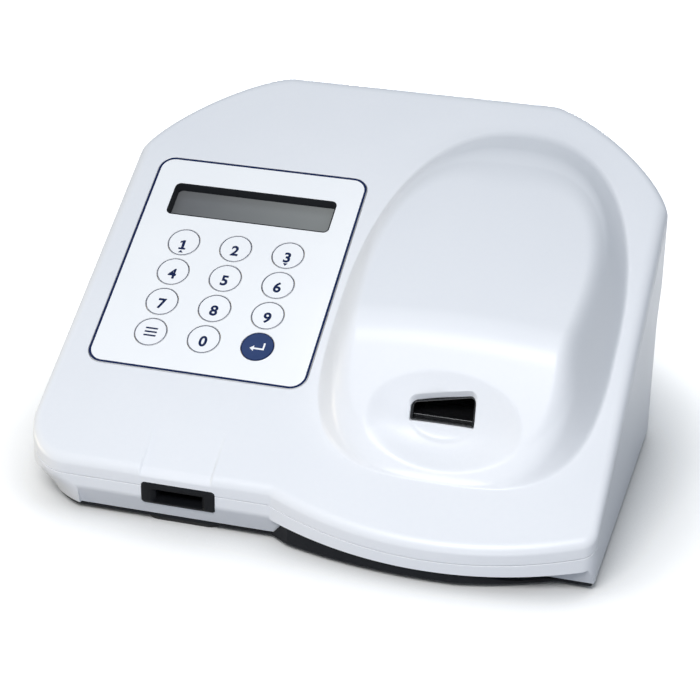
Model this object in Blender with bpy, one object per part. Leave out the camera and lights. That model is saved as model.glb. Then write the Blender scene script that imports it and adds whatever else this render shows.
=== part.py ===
"""Bench-top rapid test reader: wedge case, hood with cartridge slot, keypad, display, carriage and optics.

Metres, +Z up, -Y is the front where the user sits. The origin is on the table, under the middle of the case.
"""

import math

import bmesh
import bpy
from mathutils import Matrix, Vector

# General
GAP = 0.0003
LAYER_GAP = 0.00015
OVERRUN = 0.002
ROUND_STEPS = 28
SMALL_ROUND_STEPS = 16
CORNER_STEPS = 8
SHARP_ANGLE = math.radians(32)

# Case
CASE_WIDTH = 0.2728
CASE_DEPTH = 0.2292
FOOT_HEIGHT = 0.0024
PLATE_THICKNESS = 0.0013
BASE_BOTTOM = FOOT_HEIGHT + GAP + PLATE_THICKNESS + GAP
WALL = 0.003
FLOOR_THICKNESS = 0.003
FLOOR_TOP = BASE_BOTTOM + FLOOR_THICKNESS
BOW_RISE = 0.013
BOW_PLACE_SHARE = 0.2236
BOW_CHORD_SHARE = 0.27309
FRONT_LEFT_RADIUS = 0.023
FRONT_RIGHT_RADIUS = 0.008
BACK_RADIUS_X_SHARE = 0.2456
BACK_RADIUS_Y_SHARE = 0.2269
BACK_ROUNDNESS = 1.34
DECK_TILT = math.radians(30)
DECK_FRONT_HEIGHT = 0.0283
DECK_THICKNESS = 0.003
ROLL_FRONT = 0.0035
ROLL_BACK = 0.008
RIM_HEIGHT = 0.0083
PARTING_GAP = 0.0004
BAND_HEIGHT = 0.0131
BAND_BOW_HEIGHT = 0.0074
CHAMFER_INSET = 0.004
CHAMFER_START_INSET = 0.0294
LEFT_LEAN = 0.005
LEFT_LEAN_TOP = 0.018
FOOT_CORNER_RADIUS = 0.036
REAR_STEP = 0.008
REAR_STEP_LOW = 0.062
REAR_STEP_HIGH = 0.084
BLOCK_TOP = 0.17

FRONT_Y = -CASE_DEPTH / 2
EDGE_Y = FRONT_Y + BOW_RISE
BOW_X = CASE_WIDTH * BOW_PLACE_SHARE
BOW_HALF_CHORD = CASE_WIDTH * BOW_CHORD_SHARE
BACK_RADIUS_X = CASE_WIDTH * BACK_RADIUS_X_SHARE
BACK_RADIUS_Y = CASE_DEPTH * BACK_RADIUS_Y_SHARE
CHAMFER_START = -CASE_WIDTH / 2 + CHAMFER_START_INSET
BOW_RADIUS = (BOW_HALF_CHORD**2 + BOW_RISE**2) / (2 * BOW_RISE)
SLOPE = math.tan(DECK_TILT)
RISE_SHARE = 1 / math.cos(DECK_TILT)

# Case screws, each in a post of the base under a boss of the cover
SCREW_RADIUS = 0.0015
SCREW_HEAD_RADIUS = 0.0031
SCREW_HEAD_HEIGHT = 0.0024
SCREW_GRIP = 0.004
SCREW_BITE = 0.005
SCREW_CLEARANCE = 0.0004
POST_RADIUS = 0.0052
SIDE_POST_INSET = 0.0175
FRONT_POST_INSET = 0.03
BACK_POST_INSET = 0.046
BACK_POST_SIDE_INSET = 0.0175

# Keypad and display, on the deck
OVERLAY_WIDTH = 0.1098
OVERLAY_LENGTH = 0.1283
OVERLAY_RADIUS = 0.008
OVERLAY_SHIFT_X = 0.0006
PANEL_MARGIN = 0.0147
PANEL_PLACE_SHARE = 0.41397
PANEL_X = -CASE_WIDTH / 2 + PANEL_MARGIN + OVERLAY_WIDTH / 2 - OVERLAY_SHIFT_X
PANEL_Y = EDGE_Y + (CASE_DEPTH - BOW_RISE) * PANEL_PLACE_SHARE
OVERLAY_SHIFT_Y = 0.0158
OVERLAY_THICKNESS = 0.0010
SPACER_THICKNESS = 0.0009
CIRCUIT_THICKNESS = 0.0006
PAD_THICKNESS = 0.003
PAD_MARGIN = 0.004
KEY_RADIUS = 0.008
KEY_COLUMN_PITCH = 0.027
KEY_ROW_PITCH = 0.01836
KEY_CLEARANCE = 0.0003
KEY_SKIRT = 0.0006
KEY_STEM_RADIUS = 0.0022
KEY_TRAVEL = 0.0004
KEY_ROOM = KEY_TRAVEL + GAP
WINDOW_WIDTH = 0.0839
WINDOW_HEIGHT = 0.0189
WINDOW_SHIFT_X = 0.0004
WINDOW_SHIFT_Y = 0.05405
WINDOW_DEPTH = 0.0057
BEZEL_WALL = 0.0012
GLASS_THICKNESS = 0.0022
GLASS_MARGIN = 0.0025
GLASS_MARGIN_Y = 0.006
MODULE_THICKNESS = 0.0055
MODULE_MARGIN = 0.0032
MODULE_MARGIN_Y = 0.009
BOARD_THICKNESS = 0.0016
DISPLAY_BOARD_MARGIN = 0.0042
DISPLAY_BOARD_MARGIN_Y = 0.011
DISPLAY_CORNER = 0.001

# Hood, in the deck's frame: X across, S up the slope from the keypad's centre, H off the deck
HOOD_PANEL_GAP = 0.0045
HOOD_RIGHT_MARGIN = 0.0098
HOOD_FRONT_MARGIN = 0.01502
HOOD_BACK_MARGIN = 0.02364
HOOD_HALF_WIDTH = (CASE_WIDTH - PANEL_MARGIN - OVERLAY_WIDTH - HOOD_PANEL_GAP - HOOD_RIGHT_MARGIN) / 2
HOOD_X = CASE_WIDTH / 2 - HOOD_RIGHT_MARGIN - HOOD_HALF_WIDTH
HOOD_FRONT_LENGTH = (PANEL_Y - EDGE_Y - HOOD_FRONT_MARGIN) * RISE_SHARE
HOOD_BACK_LENGTH = (CASE_DEPTH / 2 - PANEL_Y - HOOD_BACK_MARGIN) * RISE_SHARE
HOOD_FRONT_SQUARENESS = 3.3
HOOD_BACK_SQUARENESS = 2.3
HOOD_RIDGE_S = -0.030
HOOD_RIDGE_HEIGHT = 0.0375
HOOD_TOP_FALL_SHARE = 0.165
HOOD_CROWN = 0.003
HOOD_SIDE_RISE = 0.150
HOOD_FRONT_SLOPE = 0.61
HOOD_BACK_RISE = 0.075
HOOD_EDGE_BLEND = 0.011
HOOD_FLANK_BLEND_RISE = 0.020
HOOD_SINK = 0.0015
HOOD_SIDE_WALL = 0.004
HOOD_FRONT_WALL = 0.021
HOOD_TOP_WALL = 0.0032

# Slot and scallop
SLOT_SHIFT = 0.0016
SLOT_X = HOOD_X - SLOT_SHIFT
SLOT_WIDTH = 0.0292
SLOT_BOTTOM = 0.0570
SLOT_HEIGHT = 0.0110
SLOT_RISE = 0.0040
SCALLOP_SETBACK = 0.0220
SCALLOP_Y = EDGE_Y + SCALLOP_SETBACK
SCALLOP_Z = 0.0644
SCALLOP_WIDTH_SHARE = 0.582
SCALLOP_HALF_WIDTH = HOOD_HALF_WIDTH * SCALLOP_WIDTH_SHARE
SCALLOP_HALF_DEPTH = 0.014
SCALLOP_HALF_HEIGHT = 0.025
SCALLOP_TILT = math.radians(29)
LINER_WALL = 0.0012
LINER_SETBACK = 0.0391
LINER_LENGTH = 0.0120
LINER_FRONT_Y = EDGE_Y + LINER_SETBACK
LINER_BACK_Y = LINER_FRONT_Y + LINER_LENGTH

# Port at the front left
PORT_PLACE_SHARE = 0.21004
PORT_X = -CASE_WIDTH * PORT_PLACE_SHARE
PORT_WIDTH = 0.0355
PORT_BOTTOM = 0.0113
PORT_HEIGHT = 0.0107
PORT_RADIUS = 0.0016
PORT_PROUD = 0.0006
PORT_RIM = 0.0062
PORT_MOUTH_WIDTH = 0.0225
PORT_MOUTH_BOTTOM = 0.0130
PORT_MOUTH_HEIGHT = 0.0050
SOCKET_DEPTH = 0.0142
SOCKET_WALL = 0.0018
SCOOP_HALF_WIDTH = 0.0195
SCOOP_LENGTH = 0.021
SCOOP_DEPTH = 0.0009

# Bottom plate
PLATE_INSET = 0.0012
PLATE_SETBACK = 0.0045
LIP_TAPER = 0.0614
LIP_LEDGE = 0.0006
LIP_START = 0.0130
LIP_FULL_X = CASE_WIDTH / 2 - LIP_TAPER

# Feet
FOOT_LENGTH = 0.036
FOOT_WIDTH = 0.012
FOOT_FRONT_INSET = 0.0116
FOOT_BACK_INSET = 0.0366
FOOT_X = CASE_WIDTH * PORT_PLACE_SHARE
FOOT_FRONT_Y = EDGE_Y + FOOT_FRONT_INSET
FOOT_BACK_Y = CASE_DEPTH / 2 - FOOT_BACK_INSET

# Cartridge carriage
AXIS_X = SLOT_X
ROD_RADIUS = 0.0025
ROD_SPREAD = 0.021
TRAY_DROP = 0.0018
TRAY_BOTTOM = SLOT_BOTTOM - TRAY_DROP
ROD_DROP = 0.0070
ROD_HEIGHT = TRAY_BOTTOM - ROD_DROP
ROD_SETBACK = 0.0516
ROD_BACK_INSET = 0.0486
ROD_FRONT_Y = EDGE_Y + ROD_SETBACK
ROD_BACK_Y = CASE_DEPTH / 2 - ROD_BACK_INSET
BEARING_CLEARANCE = 0.0003
SCREW_SHAFT_RADIUS = 0.0025
CHASSIS_SHEET = 0.002
CHASSIS_HALF_WIDTH = 0.031
CHASSIS_DROP = 0.0080
CHASSIS_HEIGHT = ROD_HEIGHT - CHASSIS_DROP
CHASSIS_WALL_RISE = 0.0045
CHASSIS_WALL_TOP = ROD_HEIGHT + CHASSIS_WALL_RISE
CHASSIS_BOSS_RADIUS = 0.004
CHASSIS_BOSS_INSET = 0.008
TRAY_HALF_WIDTH = 0.0160
TRAY_LENGTH = 0.062
TRAY_SETBACK = 0.0531
TRAY_REST_Y = EDGE_Y + TRAY_SETBACK
TRAY_THICKNESS = 0.0078
TRAY_TOP = TRAY_BOTTOM + TRAY_THICKNESS
TRAY_POCKET_WIDTH = 0.0272
TRAY_FLOOR_THICKNESS = 0.0028
TRAY_POCKET_FLOOR = TRAY_BOTTOM + TRAY_FLOOR_THICKNESS
TRAY_BACK_STOP = 0.004
BLOCK_HALF_WIDTH = 0.027
BLOCK_LENGTH = 0.026
BLOCK_START = 0.012
BLOCK_BOTTOM = 0.0437
NUT_RADIUS = 0.0045
NUT_FLANGE_RADIUS = 0.0055
NUT_FLANGE_THICKNESS = 0.002
NUT_LENGTH = 0.008
MOTOR_SIZE = 0.020
MOTOR_LENGTH = 0.028
MOTOR_BOSS_RADIUS = 0.0055
MOTOR_BOSS_HEIGHT = 0.002
BUSH_RADIUS = 0.0045
BUSH_FLANGE = 0.0015
SHAFT_ENTRY = 0.005

# Optics
ARCH_LEG = 0.002
ARCH_INSET = 0.045
ARCH_Y = ROD_BACK_Y - ARCH_INSET
ARCH_LENGTH = 0.022
ARCH_CLEARANCE = 0.0062
ARCH_TOP = TRAY_TOP + ARCH_CLEARANCE
HEAD_HALF_WIDTH = 0.014
HEAD_HEIGHT = 0.020
LENS_RADIUS = 0.0045
LENS_THICKNESS = 0.003
DETECTOR_BOARD_THICKNESS = 0.0016
LAMP_RADIUS = 0.005
LAMP_LENGTH = 0.012
LAMP_FLANGE = 0.0015

# Main board and what stands on it
MAIN_LEFT_INSET = 0.0364
MAIN_CARRIAGE_GAP = 0.011
MAIN_FRONT_SETBACK = 0.0211
MAIN_BACK_INSET = 0.0161
MAIN_LEFT = -CASE_WIDTH / 2 + MAIN_LEFT_INSET
MAIN_RIGHT = AXIS_X - CHASSIS_HALF_WIDTH - MAIN_CARRIAGE_GAP
MAIN_FRONT = EDGE_Y + MAIN_FRONT_SETBACK
MAIN_BACK = CASE_DEPTH / 2 - MAIN_BACK_INSET
MAIN_BOTTOM = 0.0100
MAIN_THICKNESS = 0.0016
MAIN_CORNER_X = 0.030
MAIN_CORNER_Y = 0.045
MAIN_BOSS_RADIUS = 0.0035
MAIN_BOSS_INSET = 0.007
CHIP_SIZE = 0.020
CHIP_HEIGHT = 0.0032
HEADER_LENGTH = 0.030
HEADER_WIDTH = 0.006
HEADER_HEIGHT = 0.008
COIL_RADIUS = 0.006
COIL_HEIGHT = 0.009
BUZZER_RADIUS = 0.006
BUZZER_HEIGHT = 0.0095
BUZZER_HOLE_RADIUS = 0.001
CELL_RADIUS = 0.010
CELL_HEIGHT = 0.0032

# Rear panel
REAR_CUT_CLEARANCE = 0.0004
REAR_SPACE_SHARE = 0.04
JACK_INSET = 0.0094
JACK_WIDTH = 0.009
JACK_HEIGHT = 0.011
JACK_LENGTH = 0.014
JACK_BORE_RADIUS = 0.0031
JACK_PIN_RADIUS = 0.001
JACK_BORE_DEPTH = 0.010
SERIAL_WIDTH = 0.0308
SERIAL_HEIGHT = 0.0125
SERIAL_LENGTH = 0.016
SERIAL_SHELL_TOP_WIDTH = 0.0170
SERIAL_SHELL_BOTTOM_WIDTH = 0.0150
SERIAL_SHELL_HEIGHT = 0.0083
SERIAL_SHELL_DEPTH = 0.0055
USB_WIDTH = 0.0120
USB_HEIGHT = 0.0110
USB_LENGTH = 0.016
USB_MOUTH_WIDTH = 0.0085
USB_MOUTH_HEIGHT = 0.0078
USB_TONGUE_WIDTH = 0.0056
USB_TONGUE_HEIGHT = 0.0032
USB_DEPTH = 0.009
SWITCH_Z = 0.0300
SWITCH_WIDTH = 0.0192
SWITCH_HEIGHT = 0.0128
SWITCH_DEPTH = 0.0135
SWITCH_FLANGE = 0.0012
SWITCH_FLANGE_MARGIN = 0.0016
SWITCH_WELL_WALL = 0.0016
SWITCH_WELL_DEPTH = 0.0085
ROCKER_PIVOT_RADIUS = 0.0012
ROCKER_PIVOT_DEPTH = 0.0028
ROCKER_CLEARANCE = 0.0004
ROCKER_TIP = math.radians(9)
ROCKER_REACH = 0.0022

REAR_SPACE = CASE_WIDTH * REAR_SPACE_SHARE
JACK_X = -CASE_WIDTH / 2 + BACK_RADIUS_X + JACK_INSET
SERIAL_X = JACK_X + (JACK_WIDTH + SERIAL_WIDTH) / 2 + REAR_SPACE
USB_X = SERIAL_X + (SERIAL_WIDTH + USB_WIDTH) / 2 + REAR_SPACE
SWITCH_X = USB_X + (USB_WIDTH + SWITCH_WIDTH) / 2 + SWITCH_FLANGE_MARGIN + REAR_SPACE


def deck_height(y):
    """Height of the flat deck, or of the plane it lies in, at a depth of the case."""
    return DECK_FRONT_HEIGHT + (y - EDGE_Y) * SLOPE


def parting_height(y):
    return deck_height(y) - RIM_HEIGHT


def band_height(y):
    """Lower edge of the upright band under the parting line, lower where the front bows out."""
    return BAND_HEIGHT + (y - EDGE_Y) * (BAND_HEIGHT - BAND_BOW_HEIGHT) / BOW_RISE


def principled(name, color, roughness, metallic=0.0):
    material = bpy.data.materials.new(name)
    material.use_nodes = True
    shader = material.node_tree.nodes["Principled BSDF"]
    shader.inputs["Base Color"].default_value = (*color, 1)
    shader.inputs["Roughness"].default_value = roughness
    shader.inputs["Metallic"].default_value = metallic
    material.diffuse_color = (*color, 1)
    return material


def make_materials():
    return {
        "case_white": principled("case_white", (0.82, 0.83, 0.87), 0.32),
        "overlay_white": principled("overlay_white", (0.90, 0.91, 0.94), 0.38),
        "navy": principled("navy", (0.035, 0.06, 0.17), 0.35),
        "black": principled("black", (0.012, 0.012, 0.014), 0.42),
        "rubber": principled("rubber", (0.02, 0.02, 0.02), 0.85),
        "glass": principled("glass", (0.13, 0.14, 0.13), 0.12),
        "board": principled("board", (0.02, 0.16, 0.07), 0.45),
        "steel": principled("steel", (0.55, 0.56, 0.58), 0.30, 1.0),
        "brass": principled("brass", (0.72, 0.52, 0.20), 0.30, 1.0),
        "film": principled("film", (0.55, 0.42, 0.18), 0.40),
        "frame": principled("frame", (0.25, 0.26, 0.28), 0.35, 0.8),
    }


def add_object(name, bm, material, parent=None, location=(0, 0, 0), turn=None):
    """Turns a bmesh into a named object with outward faces, shaded smooth except at sharp edges."""
    bmesh.ops.recalc_face_normals(bm, faces=bm.faces)
    mesh = bpy.data.meshes.new(name)
    bm.to_mesh(mesh)
    bm.free()
    mesh.shade_smooth()
    mesh.set_sharp_from_angle(angle=SHARP_ANGLE)
    obj = bpy.data.objects.new(name, mesh)
    if material:
        mesh.materials.append(material)
    obj.location = location
    if turn is not None:
        obj.rotation_euler = turn
    obj.parent = parent
    bpy.context.collection.objects.link(obj)
    return obj


def hide_helper(obj):
    obj.hide_render = True
    obj.display_type = "WIRE"


def combine(target, operation, bm, parent=None, location=(0, 0, 0), turn=None):
    """Cuts or joins one shape, made as a hidden helper beside the target."""
    count = len(target.modifiers)
    helper = add_object(f"{target.name}_{operation.lower()}_{count}", bm, None, parent, location, turn)
    hide_helper(helper)
    modifier = target.modifiers.new(f"{operation.lower()}_{count}", "BOOLEAN")
    modifier.operation = operation
    modifier.solver = "EXACT"
    modifier.object = helper
    return helper


def cut(target, bm, parent=None, location=(0, 0, 0), turn=None):
    return combine(target, "DIFFERENCE", bm, parent, location, turn)


def join(target, bm, parent=None, location=(0, 0, 0), turn=None):
    return combine(target, "UNION", bm, parent, location, turn)


def box(low, high, bm=None):
    """A box between two corners."""
    bm = bm or bmesh.new()
    low = Vector(low)
    high = Vector(high)
    matrix = Matrix.Translation((low + high) / 2) @ Matrix.Diagonal((*(high - low), 1))
    bmesh.ops.create_cube(bm, size=1, matrix=matrix)
    return bm


def cylinder(radius, start, end, bm=None, steps=ROUND_STEPS, end_radius=None):
    """A round bar, or a cone, between two points."""
    bm = bm or bmesh.new()
    start = Vector(start)
    end = Vector(end)
    along = end - start
    matrix = Matrix.Translation((start + end) / 2) @ along.to_track_quat("Z", "Y").to_matrix().to_4x4()
    far_radius = radius if end_radius is None else end_radius
    bmesh.ops.create_cone(
        bm, cap_ends=True, segments=steps, radius1=radius, radius2=far_radius, depth=along.length, matrix=matrix
    )
    return bm


def loft(rings, bm=None):
    """A closed solid through rings of equal point count, with flat ends."""
    bm = bm or bmesh.new()
    loops = [[bm.verts.new(point) for point in ring] for ring in rings]
    count = len(loops[0])
    for lower, upper in zip(loops, loops[1:]):
        for i in range(count):
            j = (i + 1) % count
            bm.faces.new((lower[i], lower[j], upper[j], upper[i]))
    bm.faces.new(loops[0][::-1])
    bm.faces.new(loops[-1])
    return bm


def prism(outline, low, high, bm=None):
    """An outline of (x, y) points raised from one height to another."""
    return loft([[Vector((x, y, z)) for x, y in outline] for z in (low, high)], bm)


def arc(cx, cy, radius, start, end, steps, roundness=2.0, radius_y=None):
    """Points of a corner. A roundness under 2 cuts the corner flatter than a circle."""
    deep = radius if radius_y is None else radius_y
    points = []
    for i in range(steps + 1):
        angle = math.radians(start + (end - start) * i / steps)
        c = math.cos(angle)
        s = math.sin(angle)
        x = math.copysign(abs(c) ** (2 / roundness), c)
        y = math.copysign(abs(s) ** (2 / roundness), s)
        points.append((cx + radius * x, cy + deep * y))
    return points


def rounded_rectangle(width, height, radius, cx=0, cy=0, steps=6):
    x = width / 2 - radius
    y = height / 2 - radius
    corners = [(x, -y, -90), (x, y, 0), (-x, y, 90), (-x, -y, 180)]
    outline = []
    for px, py, start in corners:
        outline += arc(cx + px, cy + py, radius, start, start + 90, steps)
    return outline


def case_outline(inset=0, back_shift=0):
    """Plan of the case, from the left end of the front corner round to the left side."""
    half = CASE_WIDTH / 2
    back = CASE_DEPTH / 2 - back_shift
    bow_y = FRONT_Y + BOW_RADIUS
    bow = BOW_RADIUS - inset
    front = EDGE_Y + inset
    outline = arc(
        -half + FRONT_LEFT_RADIUS, EDGE_Y + FRONT_LEFT_RADIUS, FRONT_LEFT_RADIUS - inset, 180, 270, CORNER_STEPS
    )
    crease_x = BOW_X - math.sqrt(bow**2 - (bow_y - front) ** 2)
    start = math.degrees(math.atan2(front - bow_y, crease_x - BOW_X))
    nose_x = half - FRONT_RIGHT_RADIUS
    nose_y = bow_y - math.sqrt((BOW_RADIUS - FRONT_RIGHT_RADIUS) ** 2 - (nose_x - BOW_X) ** 2)
    end = math.degrees(math.atan2(nose_y - bow_y, nose_x - BOW_X))
    outline += arc(BOW_X, bow_y, bow, start, end, 20)
    outline += arc(nose_x, nose_y, FRONT_RIGHT_RADIUS - inset, end, 0, 6)[1:]
    corner_x = half - BACK_RADIUS_X
    corner_y = back - BACK_RADIUS_Y
    wide = BACK_RADIUS_X - inset
    deep = BACK_RADIUS_Y - inset
    outline += arc(corner_x, corner_y, wide, 0, 90, 14, BACK_ROUNDNESS, deep)
    outline += arc(-corner_x, corner_y, wide, 90, 180, 14, BACK_ROUNDNESS, deep)
    return outline


def case_ring(height, inset=0, back_shift=0):
    """The case's plan lifted to a height, which is a number or a function of depth."""
    outline = case_outline(inset, back_shift)
    if callable(height):
        return [Vector((x, y, height(y))) for x, y in outline]
    return [Vector((x, y, height)) for x, y in outline]


def leaned_in(ring, inset=0):
    """The same ring with its left side and front-left corner drawn in, for the lean of the wall's foot."""
    straight = CASE_WIDTH / 2 - FRONT_LEFT_RADIUS
    leaned = []
    for p in ring:
        share = min(max((-p.x - straight) / FRONT_LEFT_RADIUS, 0), 1)
        leaned.append(Vector((p.x + LEFT_LEAN * share, p.y, p.z)))
    middle_x = LEFT_LEAN + FOOT_CORNER_RADIUS - CASE_WIDTH / 2
    middle_y = EDGE_Y + FOOT_CORNER_RADIUS
    corner = arc(middle_x, middle_y, FOOT_CORNER_RADIUS - inset, 180, 270, CORNER_STEPS)
    for index, (x, y) in enumerate(corner):
        leaned[index] = Vector((x, y, ring[index].z))
    return leaned


def behind_bow(ring):
    """The same ring, pushed back to clear the sloped face under the bow."""
    limit = EDGE_Y + CHAMFER_INSET + WALL
    return [Vector((p.x, max(p.y, limit), p.z)) for p in ring]


def roll_radius(y):
    share = (y - EDGE_Y) / (CASE_DEPTH / 2 - EDGE_Y)
    return ROLL_FRONT + (ROLL_BACK - ROLL_FRONT) * min(max(share, 0), 1)


def deck_rings(drop, inset, roll_share):
    """Rings of the rolled edge between the rim's side and the deck, for the outer or the inner face."""
    outer = case_outline(0)
    rings = []
    steps = 4
    for k in range(steps + 1):
        angle = math.radians(90 * k / steps)
        ring = []
        for index, (x, y) in enumerate(outer):
            radius = roll_radius(y) * roll_share
            inward = inset + radius * (1 - math.cos(angle))
            px, py = case_outline(inward)[index]
            ring.append(Vector((px, py, deck_height(py) - drop - radius * (1 - math.sin(angle)))))
        rings.append(ring)
    return rings


def tilted_slab(lift, thickness):
    """A big slab whose lower face is a plane parallel to the deck, lifted straight up from it."""
    half = CASE_WIDTH
    low = EDGE_Y - CASE_DEPTH
    high = EDGE_Y + 2 * CASE_DEPTH
    profile = [
        (low, deck_height(low) + lift),
        (high, deck_height(high) + lift),
        (high, deck_height(high) + lift + thickness),
        (low, deck_height(low) + lift + thickness),
    ]
    return loft([[Vector((x, y, z)) for y, z in profile] for x in (-half, half)])


def post_places():
    """Plan places of the four case screws."""
    x = CASE_WIDTH / 2 - SIDE_POST_INSET
    front = EDGE_Y + FRONT_POST_INSET
    back = CASE_DEPTH / 2 - BACK_POST_INSET
    back_x = CASE_WIDTH / 2 - BACK_POST_SIDE_INSET
    return [(-x, front), (x, front), (-back_x, back), (back_x, back)]


def chassis_boss_places():
    x = CHASSIS_HALF_WIDTH - CHASSIS_BOSS_INSET
    return [
        (AXIS_X + side * x, y)
        for side in (-1, 1)
        for y in (ROD_FRONT_Y + CHASSIS_BOSS_INSET, ROD_BACK_Y - CHASSIS_BOSS_INSET)
    ]


def main_boss_places():
    left = MAIN_LEFT + MAIN_BOSS_INSET
    right = MAIN_RIGHT - MAIN_BOSS_INSET
    front = MAIN_FRONT + MAIN_BOSS_INSET
    back = MAIN_BACK - MAIN_BOSS_INSET
    return [(left, front), (right, front), (left, back - MAIN_CORNER_Y), (right, back)]


def post_top(y):
    """Height at which a base post meets its cover boss, level across the post's front side."""
    return parting_height(y - POST_RADIUS) - PARTING_GAP / 2


def base_front_chamfer():
    """What the sloped face under the band removes, from the left end of the chamfer past the right corner."""
    near = FRONT_Y - OVERRUN
    foot = BASE_BOTTOM - OVERRUN
    lean = CHAMFER_INSET / (BAND_HEIGHT - BASE_BOTTOM)
    profile = [
        (near, band_height(near)),
        (EDGE_Y, BAND_HEIGHT),
        (EDGE_Y + (BAND_HEIGHT - foot) * lean, foot),
        (near, foot),
    ]
    ends = (CHAMFER_START, CASE_WIDTH / 2 + OVERRUN)
    return loft([[Vector((x, y, z)) for y, z in profile] for x in ends])


def make_base_shell(materials):
    rings = [
        leaned_in(case_ring(BASE_BOTTOM, 0, REAR_STEP)),
        case_ring(LEFT_LEAN_TOP, 0, REAR_STEP),
        case_ring(REAR_STEP_LOW, 0, REAR_STEP),
        case_ring(REAR_STEP_HIGH, 0, 0),
        case_ring(BLOCK_TOP, 0, 0),
    ]
    base = add_object("base_shell", loft(rings), materials["case_white"])
    bow_floor = BAND_HEIGHT + WALL
    hollow = [
        behind_bow(leaned_in(case_ring(FLOOR_TOP, WALL + CHAMFER_INSET, REAR_STEP), WALL + CHAMFER_INSET)),
        behind_bow(case_ring(bow_floor, WALL, REAR_STEP)),
        case_ring(bow_floor + GAP, WALL, REAR_STEP),
        case_ring(REAR_STEP_LOW + WALL, WALL, REAR_STEP),
        case_ring(REAR_STEP_HIGH + WALL, WALL, 0),
        case_ring(BLOCK_TOP + OVERRUN, WALL, 0),
    ]
    cut(base, loft(hollow))
    cut(base, base_front_chamfer())
    for x, y in post_places():
        join(base, cylinder(POST_RADIUS, (x, y, FLOOR_TOP - OVERRUN / 2), (x, y, post_top(y)), steps=SMALL_ROUND_STEPS))
    for x, y in chassis_boss_places():
        foot = (x, y, FLOOR_TOP - OVERRUN / 2)
        join(base, cylinder(CHASSIS_BOSS_RADIUS, foot, (x, y, CHASSIS_HEIGHT - GAP), steps=SMALL_ROUND_STEPS))
    for x, y in main_boss_places():
        foot = (x, y, FLOOR_TOP - OVERRUN / 2)
        join(base, cylinder(MAIN_BOSS_RADIUS, foot, (x, y, MAIN_BOTTOM - GAP), steps=SMALL_ROUND_STEPS))
    cut(base, tilted_slab(-RIM_HEIGHT - PARTING_GAP / 2, BLOCK_TOP * 2))
    for x, y in post_places():
        seat = post_top(y) - SCREW_GRIP
        cut(base, screw_bore(x, y, BASE_BOTTOM - OVERRUN, seat, SCREW_HEAD_RADIUS))
        cut(base, screw_bore(x, y, seat - OVERRUN, post_top(y) + OVERRUN, SCREW_RADIUS))
    cut(base, port_block(GAP, EDGE_Y - OVERRUN, EDGE_Y + WALL + CHAMFER_INSET + OVERRUN))
    for bm in rear_openings():
        cut(base, bm)
    return base


def screw_bore(x, y, low, high, radius):
    return cylinder(radius + SCREW_CLEARANCE, (x, y, low), (x, y, high), steps=SMALL_ROUND_STEPS)


def port_outline(clearance):
    return rounded_rectangle(
        PORT_WIDTH + 2 * clearance,
        PORT_HEIGHT + 2 * clearance,
        PORT_RADIUS + clearance,
        PORT_X,
        PORT_BOTTOM + PORT_HEIGHT / 2,
        3,
    )


def along_y(outline, front, back):
    """An outline of (x, z) points pushed back from one depth to another."""
    return loft([[Vector((x, y, z)) for x, z in outline] for y in (front, back)])


def port_block(clearance, front, back):
    return along_y(port_outline(clearance), front, back)


def rear_openings():
    """Cutters for what shows at the rear: three connectors and the power switch."""
    wall_out = CASE_DEPTH / 2 - REAR_STEP + OVERRUN
    wall_in = CASE_DEPTH / 2 - REAR_STEP - WALL - OVERRUN
    board_top = MAIN_BOTTOM + MAIN_THICKNESS + GAP
    c = REAR_CUT_CLEARANCE
    cutters = []
    for x, width, height in (
        (JACK_X, JACK_WIDTH, JACK_HEIGHT),
        (SERIAL_X, SERIAL_WIDTH, SERIAL_HEIGHT),
        (USB_X, USB_WIDTH, USB_HEIGHT),
    ):
        low = (x - width / 2 - c, wall_in, board_top - c)
        high = (x + width / 2 + c, wall_out, board_top + height + c)
        cutters.append(box(low, high))
    half = SWITCH_WIDTH / 2 + c
    rise = SWITCH_HEIGHT / 2 + c
    low = (SWITCH_X - half, wall_in, SWITCH_Z - rise)
    cutters.append(box(low, (SWITCH_X + half, wall_out, SWITCH_Z + rise)))
    return cutters


def smooth_min(a, b, blend):
    near = max(blend - abs(a - b), 0)
    return min(a, b) - near * near / max(4 * blend, GAP)


def hood_height(across, along, level, inner):
    """Height of the hood off the deck. Across and along are shares of its plan, level is 1 at its foot."""
    front = along < 0
    length = hood_length(front, inner)
    lowered = HOOD_TOP_WALL if inner else 0
    s = along * length
    top = HOOD_RIDGE_HEIGHT - (s - HOOD_RIDGE_S) * HOOD_TOP_FALL_SHARE - HOOD_CROWN * across**2 - lowered
    if front:
        flank = (1 - level) * HOOD_SIDE_RISE
        top = smooth_min(top, (s + length) * HOOD_FRONT_SLOPE, HOOD_EDGE_BLEND)
    else:
        side = abs(across) ** HOOD_BACK_SQUARENESS
        end = abs(along) ** HOOD_BACK_SQUARENESS
        mean_rise = (side * HOOD_SIDE_RISE + end * HOOD_BACK_RISE) / max(side + end, GAP)
        flank = (1 - level) * mean_rise
    return smooth_min(top, flank, HOOD_EDGE_BLEND * min(flank / HOOD_FLANK_BLEND_RISE, 1))


def hood_length(front, inner):
    if front:
        return HOOD_FRONT_LENGTH - (HOOD_FRONT_WALL if inner else 0)
    return HOOD_BACK_LENGTH - (HOOD_SIDE_WALL if inner else 0)


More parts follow.
